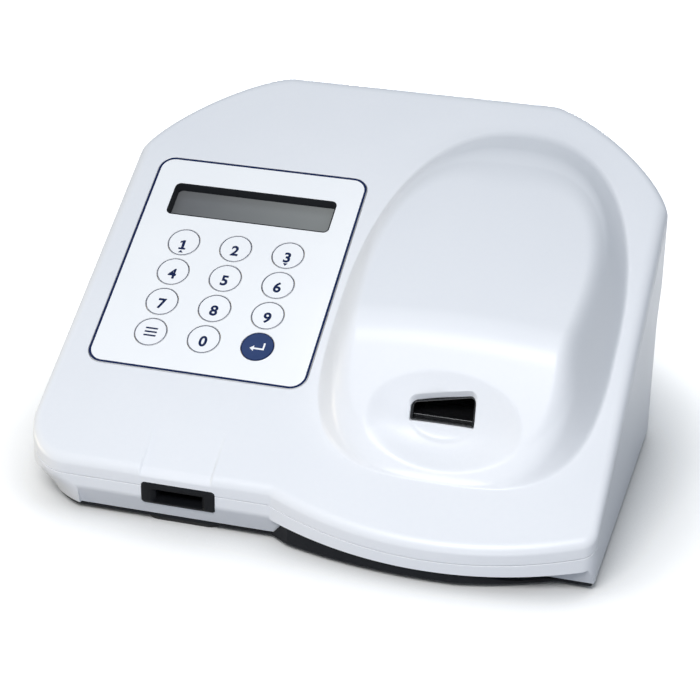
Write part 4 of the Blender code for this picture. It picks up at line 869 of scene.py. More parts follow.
def window_outline(margin, radius, steps=CORNER_STEPS):
    width = WINDOW_WIDTH + 2 * margin
    height = WINDOW_HEIGHT + 2 * margin
    return rounded_rectangle(width, height, radius, PANEL_X + WINDOW_SHIFT_X, WINDOW_SHIFT_Y, steps)


def flat_loft(stages, bm=None):
    """A closed solid through outlines of (x, y) points, each at its own height."""
    return loft([[Vector((x, y, z)) for x, y in outline] for outline, z in stages], bm)


def eased_cutter(outline_at, clearance, depth, ease):
    """A cutter with a rounded mouth at height 0. outline_at gives the outline for a clearance."""
    stages = [(outline_at(clearance), -depth)]
    for k in range(EASE_STEPS + 1):
        angle = math.radians(90 * k / EASE_STEPS)
        grow = ease * (1 - math.cos(angle))
        stages.append((outline_at(clearance + grow), -ease + ease * math.sin(angle)))
    stages.append((outline_at(clearance + ease), OVERRUN))
    return flat_loft(stages)


def surface_depth(tree, x, z):
    """Depth at which a ray from the front meets a surface."""
    hit = tree.ray_cast(Vector((x, FRONT_Y - OVERRUN, z)), Vector((0, 1, 0)))
    return hit[0].y if hit[0] else None


def front_cutter(tree, outline, normals, back):
    """A cutter pushed in from the front. Its mouth is rounded at the sides and slants up to the brow."""
    places = []
    for (x, z), (nx, nz) in zip(outline, normals):
        flat = max(nz, 0) ** 2
        grow = SLOT_EDGE_ROUND + BROW_HEIGHT * flat
        deep = SLOT_EDGE_ROUND + (BROW_DEPTH - SLOT_EDGE_ROUND) * flat
        found = surface_depth(tree, x + nx * grow, z + nz * grow)
        places.append((x, z, nx * grow, nz * grow, deep, flat, EDGE_Y if found is None else found))
    rings = [[Vector((x, back, z)) for x, z in outline]]
    for k in range(MOUTH_STEPS + 1):
        share = k / MOUTH_STEPS
        angle = math.radians(90 * share)
        ring = []
        for x, z, out_x, out_z, deep, flat, y in places:
            out = (1 - math.cos(angle)) * (1 - flat) + share * flat
            fall = (1 - math.sin(angle)) * (1 - flat) + (1 - share) * flat
            ring.append(Vector((x + out_x * out, y + deep * fall, z + out_z * out)))
        rings.append(ring)
    mouth = [(x + out_x, y, z + out_z) for x, z, out_x, out_z, _, _, y in places]
    rings.append([Vector((x, y - GAP, z)) for x, y, z in mouth])
    rings.append([Vector((x, FRONT_Y - 2 * OVERRUN, z)) for x, _, z in mouth])
    return loft(rings)


def port_outline(clearance, steps=PORT_STEPS):
    width = PORT_WIDTH + 2 * clearance
    height = PORT_HEIGHT + 2 * clearance
    middle = PORT_BOTTOM + PORT_HEIGHT / 2
    return rounded_rectangle(width, height, PORT_RADIUS + clearance, PORT_X, middle, steps)


def port_scoop():
    """A shallow trough with soft sides, over the port, that follows the cover's rolled edge."""
    places = []
    for k in range(SCOOP_SIDE_STEPS + 1):
        share = k / SCOOP_SIDE_STEPS
        places += [(-SCOOP_LEFT + SCOOP_EDGE * share, share), (SCOOP_RIGHT - SCOOP_EDGE * share, share)]
    places.sort()
    stations = []
    for k in range(SCOOP_STEPS + 1):
        angle = math.radians(90 * k / SCOOP_STEPS)
        inward = ROLL_FRONT * (1 - math.cos(angle))
        stations.append((angle, EDGE_Y + inward, ROLL_FRONT * (1 - math.sin(angle)), math.sin(angle)))
    for k in range(1, SCOOP_STEPS + 1):
        share = k / SCOOP_STEPS
        stations.append((math.radians(90), EDGE_Y + ROLL_FRONT + SCOOP_LENGTH * share, 0, 1 - share))
    rings = []
    for angle, y, drop, share in stations:
        z = deck_height(y) - drop
        c = math.cos(angle)
        s = math.sin(angle)
        ring = []
        for x, rise in places:
            deep = SCOOP_DEPTH * share * eased(rise) - SCOOP_LIFT
            ring.append(Vector((PORT_X + x, y + c * deep, z - s * deep)))
        ring += [Vector((PORT_X + x, y - c * OVERRUN, z + s * OVERRUN)) for x, _ in reversed(places)]
        rings.append(ring)
    return loft(rings)


def make_port_frame(material):
    """The port's frame: proud, with a broken edge, a flared mouth and a sloped lower edge."""
    middle = MOUTH_BOTTOM + MOUTH_HEIGHT / 2
    front = EDGE_Y - FRAME_PROUD
    back = EDGE_Y + FRAME_BACK

    def outer(clearance):
        return port_outline(clearance, FRAME_STEPS)

    def mouth(grow):
        height = MOUTH_HEIGHT + grow * MOUTH_FLARE_TALL
        lifted = middle + grow * MOUTH_FLARE_LIFT
        width = MOUTH_WIDTH + 2 * grow
        return rounded_rectangle(width, height, MOUTH_RADIUS + grow / 2, PORT_X, lifted, FRAME_STEPS)

    stages = [
        (outer(0), back),
        (outer(0), front + FRAME_BEVEL),
        (outer(-FRAME_BEVEL * BEVEL_SHARE), front + FRAME_BEVEL * BEVEL_SHARE),
        (outer(-FRAME_BEVEL), front),
        (mouth(MOUTH_FLARE), front),
        (mouth(MOUTH_FLARE * FLARE_SHARE), front + FRAME_BEVEL * FLARE_BEVEL_SHARE),
        (mouth(0), front + MOUTH_FLARE_DEPTH),
        (mouth(0), back),
    ]
    rings = []
    for outline, y in stages:
        slope = 0 if y == back else CHAMFER_LEAN
        rings.append([Vector((x, y + max(BAND_HEIGHT - z, 0) * slope, z)) for x, z in outline])
    return mesh_object("port_frame", loft(rings + rings[:1], caps=False), material)


def make_cover(material):
    """The cover with its hollow, the panel's recess, the slot, the port's notch and the scoop."""
    cover = mesh_object("cover_shell", cover_outer(), material)
    tree = BVHTree.FromObject(cover, bpy.context.evaluated_depsgraph_get())
    drop = DECK_THICKNESS * RISE_SHARE
    below = case_ring(lambda y: parting_height(y) - OVERRUN, WALL, 0, COARSE)
    inner = loft([below] + roll_rings(drop, WALL, INNER_ROLL_SHARE, INNER_ROLL_STEPS, COARSE))
    hood = hood_inner()
    hood.transform(DECK)
    pad = flat_loft([(panel_outline(PAD_MARGIN), z) for z in (PAD_BOTTOM, -DECK_THICKNESS / 2)])
    pad.transform(DECK)
    carve(cover, [inner, hood])
    carve(cover, [pad], "UNION")
    recess = eased_cutter(panel_outline, GAP, RECESS_DEPTH, RECESS_EASE)
    recess.transform(DECK)
    window = window_outline(WINDOW_WALL, WINDOW_RADIUS)
    opening = flat_loft([(window, z) for z in (PAD_BOTTOM - OVERRUN, OVERRUN)])
    opening.transform(DECK)
    carve(cover, [recess, opening, slot_cutter(tree), port_notch(WALL), port_scoop()])
    finish_shading(cover)
    return cover, tree


def slot_outline(clearance, steps=SLOT_STEPS):
    """The slot's outline under the brow, higher at its right end, and its outward directions."""
    left = SLOT_X - SLOT_WIDTH / 2 - clearance
    right = SLOT_X + SLOT_WIDTH / 2 + clearance
    low = SLOT_BOTTOM - clearance
    high = SLOT_BOTTOM + SLOT_HEIGHT - BROW_HEIGHT + clearance
    lean = math.degrees(math.atan2(SLOT_RISE, right - left))
    upper = SLOT_TOP_CORNER + clearance
    lower = SLOT_CORNER + clearance
    corners = [
        (right - lower, low + lower, lower, -90, 0),
        (right - upper, high + SLOT_RISE - upper, upper, 0, 90 + lean),
        (left + upper, high - upper, upper, 90 + lean, 180),
        (left + lower, low + lower, lower, 180, 270),
    ]
    outline = []
    normals = []
    for x, z, radius, start, end in corners:
        outline += arc(x, z, radius, start, end, steps)
        normals += arc(0, 0, 1, start, end, steps)
    return outline, normals


def slot_cutter(tree):
    outline, normals = dense(*slot_outline(GAP), SLOT_POINT_STEP)
    return front_cutter(tree, outline, normals, LINER_BACK_Y + OVERRUN)


def make_liner(material, tree):
    """The tube behind the slot: it comes to the surface at the bottom and stands back at the top."""
    wall = LINER_WALL
    back = LINER_BACK_Y
    low = SLOT_BOTTOM
    tall = SLOT_HEIGHT + SLOT_RISE
    face = {}
    for x, z in slot_outline(0)[0]:
        found = surface_depth(tree, x, z)
        recess = LINER_LOW_RECESS + LINER_TOP_RECESS * clamp((z - low) / tall)
        face[(x, z)] = (LINER_FRONT_Y if found is None else found) + recess
    depths = list(face.values())
    edge = EDGE_BREAK
    stages = [(0, None), (0, edge), (-edge, 0), (-wall + edge, 0), (-wall, edge), (-wall, None)]
    rings = []
    for clearance, step in stages:
        outline = slot_outline(clearance)[0]
        ys = [back if step is None else min(y + step, back - GAP) for y in depths]
        rings.append([Vector((x, y, z)) for (x, z), y in zip(outline, ys)])
    return mesh_object("liner_tube", loft(rings + rings[:1], caps=False), material)


def make_sill(material, tree):
    """The rounded front edge of the liner's floor step."""
    half = SLOT_WIDTH / 2 - LINER_WALL
    z = SLOT_BOTTOM + LINER_WALL + SILL_RISE
    found = surface_depth(tree, SLOT_X, SLOT_BOTTOM)
    y = (LINER_FRONT_Y if found is None else found) + SILL_SETBACK
    nose = arc(y, z, SILL_RADIUS, 90, 270, SILL_STEPS)
    low = SLOT_BOTTOM + LINER_WALL / 2
    foot = [(y, low), (y + OVERRUN, low), (y + OVERRUN, z + SILL_RADIUS)]
    return mesh_object("liner_sill", prism(nose + foot, (SLOT_X - half, SLOT_X + half), "X"), material)


def dense(outline, normals, step):
    """The same outline with more points along its straight stretches."""
    points = []
    directions = []
    count = len(outline)
    for i in range(count):
        a = Vector(outline[i])
        b = Vector(outline[(i + 1) % count])
        na = Vector(normals[i])
        nb = Vector(normals[(i + 1) % count])
        parts = max(round((b - a).length / step), 1)
        for k in range(parts):
            share = k / parts
            points.append(tuple(a.lerp(b, share)))
            directions.append(tuple(na.lerp(nb, share).normalized()))
    return points, directions


def port_notch(depth):
    return prism(port_outline(GAP), (EDGE_Y - OVERRUN, EDGE_Y + depth + OVERRUN), "Y")


def tilted_slab(lift, thickness):
    half = CASE_WIDTH
    low = EDGE_Y - CASE_DEPTH
    high = EDGE_Y + 2 * CASE_DEPTH
    profile = [
        (low, deck_height(low) + lift),
        (high, deck_height(high) + lift),
        (high, deck_height(high) + lift + thickness),
        (low, deck_height(low) + lift + thickness),
    ]
    return prism(profile, (-half, half), "X")


def base_outer():
    """The base's outer face up to the parting line, whose edge is broken."""
    rows = [(BASE_BOTTOM, EDGE_BREAK), (BASE_BOTTOM + EDGE_BREAK, 0)]
    rings = [leaned_in(case_ring(z, inset, REAR_STEP, FINE), 1, inset, FINE) for z, inset in rows]
    for k in range(1, LEAN_STEPS + 1):
        share = k / LEAN_STEPS
        height = BASE_BOTTOM + EDGE_BREAK + (LEFT_LEAN_TOP - BASE_BOTTOM) * share
        rings.append(leaned_in(case_ring(height, 0, REAR_STEP, FINE), 1 - share**LEFT_LEAN_POWER, 0, FINE))
    rings.append(case_ring(REAR_STEP_LOW, 0, REAR_STEP, FINE))
    for k in range(1, REAR_STEP_STEPS + 1):
        share = k / REAR_STEP_STEPS
        height = REAR_STEP_LOW + (REAR_STEP_HIGH - REAR_STEP_LOW) * share
        rings.append(case_ring(height, 0, REAR_STEP * (1 - eased(share)), FINE))
    rings.append(case_ring(BLOCK_TOP, 0, 0, FINE))
    return loft(rings)


def front_chamfer():
    """What the sloped face under the front band removes, with the band's lower edge eased."""
    near = FRONT_Y - OVERRUN
    foot = BASE_BOTTOM - OVERRUN
    profile = [
        (near, BAND_HEIGHT + (near - EDGE_Y) * BAND_DROP),
        (EDGE_Y, BAND_HEIGHT),
        (EDGE_Y + (BAND_HEIGHT - foot) * CHAMFER_LEAN, foot),
        (near, foot),
    ]
    return prism(profile, (CHAMFER_START, CASE_WIDTH / 2 + OVERRUN), "X")


def base_hollow():
    limit = EDGE_Y + CHAMFER_INSET + WALL
    inset = WALL + CHAMFER_INSET
    low = leaned_in(case_ring(FLOOR_TOP, inset, REAR_STEP, COARSE), 1, inset, COARSE)
    bow = case_ring(BAND_HEIGHT + WALL, WALL, REAR_STEP, COARSE)
    rings = [[Vector((p.x, max(p.y, limit), p.z)) for p in ring] for ring in (low, bow)]
    rows = [(BAND_HEIGHT + GAP, REAR_STEP), (REAR_STEP_LOW, REAR_STEP), (REAR_STEP_HIGH, 0)]
    rings += [case_ring(z + WALL, WALL, shift, COARSE) for z, shift in rows]
    rings.append(case_ring(BLOCK_TOP + OVERRUN, WALL, 0, COARSE))
    return loft(rings)


def make_base(material):
    """The base's outside, with the openings that the CAD shell has at the front and the rear."""
    base = mesh_object("base_skin", base_outer(), material)
    carve(base, [base_hollow(), front_chamfer(), tilted_slab(-RIM_HEIGHT - PARTING_GAP / 2, BLOCK_TOP * 2)])
    carve(base, [port_notch(WALL + CHAMFER_INSET)] + rear_cutters() + screw_wells())
    finish_shading(base)
    return base


def bow_line(x):
    """Depth of the bow's front face at a place across the case."""
    return FRONT_Y + BOW_RADIUS - math.sqrt(BOW_RADIUS**2 - (x - BOW_X) ** 2)


def plate_profile(near):
    """Side view of the plate, with the lip that comes up under the bow: a black strip that paints the shade
    in the gap under the overhanging bow.
    """
    far = CASE_DEPTH / 2 + OVERRUN
    clear = 2 * GAP
    return [
        (near, PLATE_LOW),
        (far, PLATE_LOW),
        (far, PLATE_HIGH),
        (EDGE_Y + (BAND_HEIGHT - PLATE_HIGH) * CHAMFER_LEAN - clear, PLATE_HIGH),
        (EDGE_Y - clear, BAND_HEIGHT - clear),
        (near, BAND_HEIGHT + (near - EDGE_Y) * BAND_DROP - clear),
    ]


def shade_lip_cutters(near):
    """Cuts that let the lip start as a point, draw back at the right and run down there, so that its painted
    shade follows the dark gap under the bow.
    """
    wide = CASE_WIDTH
    edge = EDGE_Y + CHAMFER_INSET
    crease = BOW_X - BOW_HALF_CHORD
    start = crease + SHADE_LIP_START
    left = [(-wide, near), (start, near), (start, bow_line(start)), (crease, edge), (-wide, edge)]
    right = [(SHADE_LIP_FULL_X, near), (wide, near), (wide, edge)]
    for k in range(PLATE_STEPS, -1, -1):
        share = k / PLATE_STEPS
        x = SHADE_LIP_FULL_X + (CASE_WIDTH / 2 - SHADE_LIP_FULL_X) * share
        setback = PLATE_SETBACK * share**PLATE_SETBACK_POWER
        right.append((x, min(bow_line(x) + PLATE_INSET + setback, edge)))
    top = BAND_BOW_HEIGHT + SHADE_LIP_LEDGE
    slant = [(SHADE_LIP_FULL_X, top), (SHADE_LIP_END_X, PLATE_HIGH), (wide, PLATE_HIGH)]
    slant += [(wide, BLOCK_TOP), (SHADE_LIP_FULL_X, BLOCK_TOP)]
    sides = [prism(points, (-OVERRUN, BLOCK_TOP), "Z") for points in (left, right)]
    return sides + [prism(slant, (near - OVERRUN, edge + OVERRUN), "Y")]


def make_plate(material):
    """The plate under the case, cut to the case's plan. The lip that it raises under the bow is painted
    shade.
    """
    near = FRONT_Y - OVERRUN
    wide = prism(plate_profile(near), (-CASE_WIDTH, CASE_WIDTH), "X")
    plate = mesh_object("plate_skin", wide, material)
    inset = PLATE_INSET
    rings = [leaned_in(case_ring(z, inset, REAR_STEP, FINE), 1, inset, FINE) for z in (0, BLOCK_TOP)]
    # The plate itself is real; its lip under the bow is painted shade.
    carve(plate, [loft(rings)], "INTERSECT")
    carve(plate, shade_lip_cutters(near) + screw_wells())
    finish_shading(plate)
    return plate


def rear_cutters():
    """Openings in the rear wall, each a little larger than what sits in it."""
    wall_out = CASE_DEPTH / 2 - REAR_STEP + OVERRUN
    wall_in = CASE_DEPTH / 2 - REAR_STEP - WALL - OVERRUN
    openings = [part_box(node) for node in ("power_jack", "serial_port", "usb_port")]
    low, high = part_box("switch_body")
    middle = (low + high) / 2
    half = Vector((SWITCH_WIDTH / 2, 0, SWITCH_HEIGHT / 2))
    openings.append((middle - half, middle + half))
    cutters = []
    for low, high in openings:
        near = (low.x - REAR_CLEARANCE, wall_in, low.z - REAR_CLEARANCE)
        far = (high.x + REAR_CLEARANCE, wall_out, high.z + REAR_CLEARANCE)
        cutters.append(box(near, far))
    return cutters


def screw_wells():
    cutters = []
    for index in range(1, 5):
        low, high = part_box(f"case_screw_{index}")
        middle = (low + high) / 2
        top = low.z + SCREW_WELL_DEPTH
        foot = BASE_BOTTOM - OVERRUN
        matrix = Matrix.Translation((middle.x, middle.y, (foot + top) / 2))
        radius = SCREW_WELL_RADIUS
        sizes = {"segments": SCREW_WELL_STEPS, "radius1": radius, "radius2": radius, "depth": top - foot}
        bm = bmesh.new()
        bmesh.ops.create_cone(bm, cap_ends=True, matrix=matrix, **sizes)
        cutters.append(bm)
    return cutters


def add_node(tree, kind, inputs=None, **settings):
    """A shader node with its settings. Each input is linked from a socket or set to a value."""
    node = tree.nodes.new(f"ShaderNode{kind}")
    for key, value in settings.items():
        setattr(node, key, value)
    for key, value in (inputs or {}).items():
        if isinstance(value, bpy.types.NodeSocket):
            tree.links.new(value, node.inputs[key])
        else:
            node.inputs[key].default_value = value
    return node


class Finish:
    """A node material on a Principled shader, built up step by step."""

    def __init__(self, name, color, roughness, metallic=0.0):
        self.material = bpy.data.materials.new(name)
        self.material.use_nodes = True
        self.material.diffuse_color = (*color, 1)
        self.tree = self.material.node_tree
        self.inputs = self.tree.nodes["Principled BSDF"].inputs
        self.set({"Base Color": (*color, 1), "Roughness": roughness, "Metallic": metallic})
        self.color = color
        self.place = add_node(self.tree, "TexCoord").outputs["Object"]

    def set(self, values):
        for key, value in values.items():
            self.inputs[key].default_value = value

    def noise(self, size, detail=3.0, stretch=(1, 1, 1)):
        """Noise whose features are about size metres across."""
        place = self.place
        if stretch != (1, 1, 1):
            place = add_node(self.tree, "Mapping", {"Vector": place, "Scale": stretch}).outputs["Vector"]
        grain = {"Vector": place, "Scale": 1 / size, "Detail": detail}
        return add_node(self.tree, "TexNoise", grain).outputs["Fac"]

    def ramp(self, source, left, right, low=0, high=1):
        """Runs from low to high while source runs from left to right."""
        limits = {"From Min": left, "From Max": right, "To Min": low, "To Max": high}
        return add_node(self.tree, "MapRange", {"Value": source, **limits}).outputs["Result"]

    def layer(self, factor, other):
        """Puts another colour over the one so far."""
        socket = self.inputs["Base Color"]
        under = socket.links[0].from_socket if socket.is_linked else (*self.color, 1)
        mix = add_node(self.tree, "Mix", {0: factor, 6: under, 7: (*other, 1)}, data_type="RGBA")
        self.tree.links.new(mix.outputs[2], socket)

    def tint(self, grain, other, amount=1.0):
        """Shifts the colour towards another one where a noise is high."""
        self.layer(self.ramp(self.noise(*grain), *NOISE_MIDDLE, 0, amount), other)

    def fade(self, left, right, other):
        """Runs over to another colour from one X to another."""
        split = add_node(self.tree, "SeparateXYZ", {0: self.place})
        self.layer(self.ramp(split.outputs["X"], left, right), other)

    def sheen(self, grain, low, high):
        """Varies the roughness with a noise."""
        rough = self.ramp(self.noise(*grain), *NOISE_MIDDLE, low, high)
        self.tree.links.new(rough, self.inputs["Roughness"])

    def bump(self, grain, height, strength):
        """Surface relief of about height metres."""
        relief = {"Height": self.noise(*grain), "Distance": height, "Strength": strength}
        self.tree.links.new(add_node(self.tree, "Bump", relief).outputs["Normal"], self.inputs["Normal"])

    def worn(self, other, amount):
        """Edges rubbed towards another colour."""
        pointed = add_node(self.tree, "NewGeometry").outputs["Pointiness"]
        self.layer(self.ramp(pointed, *EDGE_POINTINESS, 0, amount), other)


def make_finishes():
    """One finish for each kind of surface."""
    made = {}
    for key, (base, tints, sheen, relief, values) in FINISHES.items():
        finish = Finish(*base)
        for tint in tints:
            finish.tint(*tint)
        # Painted reflection: the display is painted lighter towards its right end.
        if key == "display":
            finish.fade(DISPLAY_LEFT, DISPLAY_RIGHT, DISPLAY_GLARE_COLOR)
        finish.sheen(*sheen)
        if relief:
            finish.bump(*relief)
        if key in WORN:
            finish.worn(*WORN[key])
        finish.set(values)
        made[key] = finish.material
    return made


def dress_nodes(finishes):
    """Gives each carried-over CAD node its finish."""
    for finish, names in NODE_FINISHES.items():
        for name in names:
            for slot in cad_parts[name].material_slots:
                slot.material = finishes[finish]


def make_sheet(material):
    """The keypad's sheet, with a soft outer edge, a window and a hole for each key."""
    edge = SHEET_EDGE
    part = edge * SHEET_EDGE_SHARE
    stages = [(0, -SHEET_THICKNESS), (0, -edge), (-part, -part), (-edge, 0)]
    sheet = flat_loft([(panel_outline(margin, PANEL_STEPS), z) for margin, z in stages])
    sheet = mesh_object("keypad_sheet", sheet, material, DECK)
    low = -SHEET_THICKNESS - OVERRUN
    margin = WINDOW_LINE + LINE_GAP
    window = window_outline(margin, WINDOW_RADIUS + margin, WINDOW_STEPS)
    cutters = [flat_loft([(window, z) for z in (low, OVERRUN)])]
    for name in KEY_NAMES:
        x, y = key_centre(name)
        cutters.append(flat_loft([(circle(KEY_HOLE_RADIUS, x, y), z) for z in (low, OVERRUN)]))
    for cutter in cutters:
        cutter.transform(DECK)
    carve(sheet, cutters)
    finish_shading(sheet)
    return sheet


def make_window_wall(material):
    """The black wall round the sunk display. Its thin rim comes up level with the sheet."""
    shelf = -SHEET_THICKNESS - LINE_GAP
    low = -WINDOW_DEPTH + GAP
    wall = BEZEL_WALL
    stages = [(wall, low), (wall, shelf), (WINDOW_LINE, shelf), (WINDOW_LINE, 0), (0, 0), (0, low)]
    rings = []
    for margin, z in stages:
        outline = window_outline(margin, WINDOW_RADIUS + margin, WINDOW_STEPS)
        rings.append([Vector((x, y, z)) for x, y in outline])
    return mesh_object("window_wall", loft(rings + rings[:1], caps=False), material, DECK)


def strip(outer, inner, low, high):
    """A flat frame between two outlines of equal point count, in the deck's frame."""
    bm = bmesh.new()
    loops = []
    for outline, z in ((outer, low), (outer, high), (inner, high), (inner, low)):
        loops.append([bm.verts.new((x, y, z)) for x, y in outline])
    bridge(bm, loops + loops[:1])
    return bm


def circle(radius, cx, cy, steps=CIRCLE_STEPS):
    return arc(cx, cy, radius, 0, 360, steps)[:-1]


def rear_frame(node):
    """Frame on a rear socket's face: X across, Y up and Z out of the wall."""
    low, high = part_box(node)
    middle = (low + high) / 2
    return Matrix(((-1, 0, 0, middle.x), (0, 0, 1, high.y), (0, 1, 0, middle.z), (0, 0, 0, 1)))


def serial_outline(margin):
    """The serial socket's mouth, wider at its top, grown by a margin."""
    width = SERIAL_TOP_WIDTH + 2 * margin
    height = SERIAL_MOUTH_HEIGHT + 2 * margin
    taper = 1 - SERIAL_BOTTOM_WIDTH / SERIAL_TOP_WIDTH
    outline = rounded_rectangle(width, height, SERIAL_CORNER + margin)
    return [(x * (1 - taper * (0.5 - y / height)), y) for x, y in outline]


def round_pin(x, y, radius, low, high, bm=None):
    """A pin with a round nose."""
    stages = [(circle(radius, x, y, PIN_STEPS), low)]
    for angle in map(math.radians, PIN_NOSE):
        outline = circle(radius * math.cos(angle), x, y, PIN_STEPS)
        stages.append((outline, high - radius * (1 - math.sin(angle))))
    return flat_loft(stages, bm)


def hexagon(radius, cx, steps=STANDOFF_STEPS):
    """A hexagon with that distance from its middle to a side, in as many points as a circle has."""
    points = []
    for x, y in circle(1, 0, 0, steps):
        turn = math.atan2(y, x) % math.radians(60) - math.radians(30)
        points.append((cx + x * radius / math.cos(turn), y * radius / math.cos(turn)))
    return points


def standoff(cx, bm=None):
    """A six-sided post with a bore, beside the serial socket."""
    edge = STANDOFF_PROUD - STANDOFF_CHAMFER
    stages = [
        (hexagon(STANDOFF_RADIUS, cx), -GAP),
        (hexagon(STANDOFF_RADIUS, cx), edge),
        (hexagon(STANDOFF_RADIUS - STANDOFF_CHAMFER, cx), STANDOFF_PROUD),
        (circle(STANDOFF_BORE, cx, 0, STANDOFF_STEPS), STANDOFF_PROUD),
        (circle(STANDOFF_BORE, cx, 0, STANDOFF_STEPS), STANDOFF_DEEP),
    ]
    return flat_loft(stages, bm)


def make_sockets(finishes):
    """The finer parts of the rear sockets: collar, pins and posts, the tongue and the jack's pin."""
    at = rear_frame("serial_port")
    half = SHELL_WALL / 2
    collar = strip(serial_outline(half), serial_outline(-half), -SERIAL_DEPTH, SHELL_PROUD)
    add_piece(finishes, "serial_collar", collar, "steel", at)
    fill = [(serial_outline(0), -SERIAL_DEPTH - GAP), (serial_outline(0), -SERIAL_DEPTH + SERIAL_FILL)]
    add_piece(finishes, "serial_fill", flat_loft(fill), "black", at)
    pins = bmesh.new()
    for count, y in ((5, PIN_ROW), (4, -PIN_ROW)):
        for k in range(count):
            round_pin((k - (count - 1) / 2) * PIN_PITCH, y, PIN_RADIUS, -SERIAL_DEPTH, -GAP, pins)
    add_piece(finishes, "serial_pins", pins, "brass", at)
    posts = standoff(STANDOFF_SPREAD, standoff(-STANDOFF_SPREAD))
    add_piece(finishes, "serial_posts", posts, "steel", at)
    outline = rounded_rectangle(TONGUE_WIDTH, TONGUE_HEIGHT, TONGUE_CORNER)
    tongue = flat_loft([(outline, -USB_DEPTH), (outline, -TONGUE_SETBACK)])
    add_piece(finishes, "usb_tongue", tongue, "black", rear_frame("usb_port"))
    pin = round_pin(0, 0, JACK_PIN_RADIUS, -JACK_DEPTH, -JACK_PIN_SETBACK)
    add_piece(finishes, "jack_pin", pin, "brass", rear_frame("power_jack"))


def key_centre(name):
    index = KEY_NAMES.index(name)
    x = PANEL_X + (index % 3 - 1) * KEY_COLUMN_PITCH
    return x, (1.5 - index // 3) * KEY_ROW_PITCH


def printed_text(name, text, size, x, y, material):
    """A character printed on the panel: heavy, as thick as a layer of ink."""
    curve = bpy.data.curves.new(name, "FONT")
    curve.body = text
    curve.size = size
    curve.offset = size * DIGIT_WEIGHT
    curve.align_x = "CENTER"
    curve.align_y = "CENTER"
    curve.extrude = PRINT_THICKNESS / 2
    curve.resolution_u = DIGIT_STEPS
    source = bpy.data.objects.new(f"{name}_curve", curve)
    bpy.context.collection.objects.link(source)
    bpy.context.view_layer.update()
    mesh = bpy.data.meshes.new_from_object(source.evaluated_get(bpy.context.evaluated_depsgraph_get()))
    bpy.data.objects.remove(source)
    mesh.transform(Matrix.Diagonal((DIGIT_WIDTH, 1, 1, 1)))
    mesh.transform(DECK @ Matrix.Translation((x, y, PRINT_THICKNESS / 2)))
    mesh.materials.clear()
    mesh.materials.append(material)
    obj = bpy.data.objects.new(name, mesh)
    bpy.context.collection.objects.link(obj)
    return obj


def flat_print(name, outline, material):
    """A printed patch with that outline, in the deck's frame."""
    return mesh_object(name, flat_loft([(outline, 0), (outline, PRINT_THICKNESS)]), material, DECK)


def make_print(finishes):
    """Border, key outlines, digits and symbols."""
    navy = finishes["navy"]
    outer = panel_outline(-BORDER_MARGIN, PANEL_STEPS)
    border = strip(outer, panel_outline(-BORDER_WIDTH, PANEL_STEPS), 0, PRINT_THICKNESS)
    add_piece(finishes, "panel_border", border, "navy", DECK)
    for name in KEY_NAMES:
        x, y = key_centre(name)
        inner = circle(KEY_RADIUS - RING_WIDTH, x, y)
        ring = strip(circle(KEY_RADIUS - RING_MARGIN, x, y), inner, 0, PRINT_THICKNESS)
        body = f"key_{name}_body"
        add_piece(finishes, f"key_{name}_ring", ring, "navy", DECK, body)
        if name == "1":
            place(flat_print("digit_1", figure_one(x, y - DIGIT_DROP - ONE_HEIGHT / 2), navy), body, "navy")
        elif name.isdigit():
            place(printed_text(f"digit_{name}", name, DIGIT_SIZE, x, y - DIGIT_DROP, navy), body, "navy")
    make_symbols(finishes)


def figure_one(cx, cy):
    """A 1 with a flag and a foot, standing on its place."""
    flag = ONE_HEIGHT - ONE_FLAG_DROP
    points = [
        (-ONE_HALF_FOOT, 0),
        (ONE_HALF_FOOT, 0),
        (ONE_HALF_FOOT, ONE_LINE),
        (ONE_STEM_RIGHT, ONE_LINE),
        (ONE_STEM_RIGHT, ONE_HEIGHT),
        (ONE_STEM_LEFT / 2, ONE_HEIGHT),
        (-ONE_HALF_FOOT, flag),
        (-ONE_HALF_FOOT, flag - ONE_LINE),
        (ONE_STEM_LEFT, flag - ONE_LINE * ONE_FLAG_SHARE),
        (ONE_STEM_LEFT, ONE_LINE),
        (-ONE_HALF_FOOT, ONE_LINE),
    ]
    return [(cx + x, cy + y) for x, y in points]


def arrow_head(cx, cy, turn):
    half = ARROW_WIDTH / 2
    rise = turn * ARROW_HEIGHT / 2
    return [(cx - half, cy - rise), (cx + half, cy - rise), (cx, cy + rise)]


def return_arrow(cx, cy):
    low = -RETURN_RISE / 2
    line = RETURN_LINE / 2
    neck = -RETURN_REACH + RETURN_HEAD
    head = RETURN_HEAD * RETURN_HEAD_SHARE
    points = [
        (-RETURN_REACH, low),
        (neck, low - head),
        (neck, low - line),
        (RETURN_REACH, low - line),
        (RETURN_REACH, RETURN_RISE),
        (RETURN_REACH - RETURN_LINE, RETURN_RISE),
        (RETURN_REACH - RETURN_LINE, low + line),
        (neck, low + line),
        (neck, low + head),
    ]
    return [(cx + x, cy + y) for x, y in points]


def make_symbols(finishes):
    """Arrows on two keys, bars on the option key and a return arrow on the enter key."""
    navy = finishes["navy"]
    for name, turn in (("1", 1), ("3", -1)):
        x, y = key_centre(name)
        arrow = flat_print(f"arrow_{name}", arrow_head(x, y - ARROW_DROP, turn), navy)
        place(arrow, f"key_{name}_body", "navy")
    x, y = key_centre("option")
    for k in (-1, 0, 1):
        bar = rounded_rectangle(BAR_WIDTH, BAR_HEIGHT, BAR_HEIGHT * BAR_ROUNDNESS, x, y + k * BAR_PITCH, 3)
        place(flat_print(f"option_bar_{k + 2}", bar, navy), "key_option_body", "navy")
    x, y = key_centre("enter")
    place(flat_print("enter_arrow", return_arrow(x, y), finishes["film"]), "key_enter_body", "overlay_white")


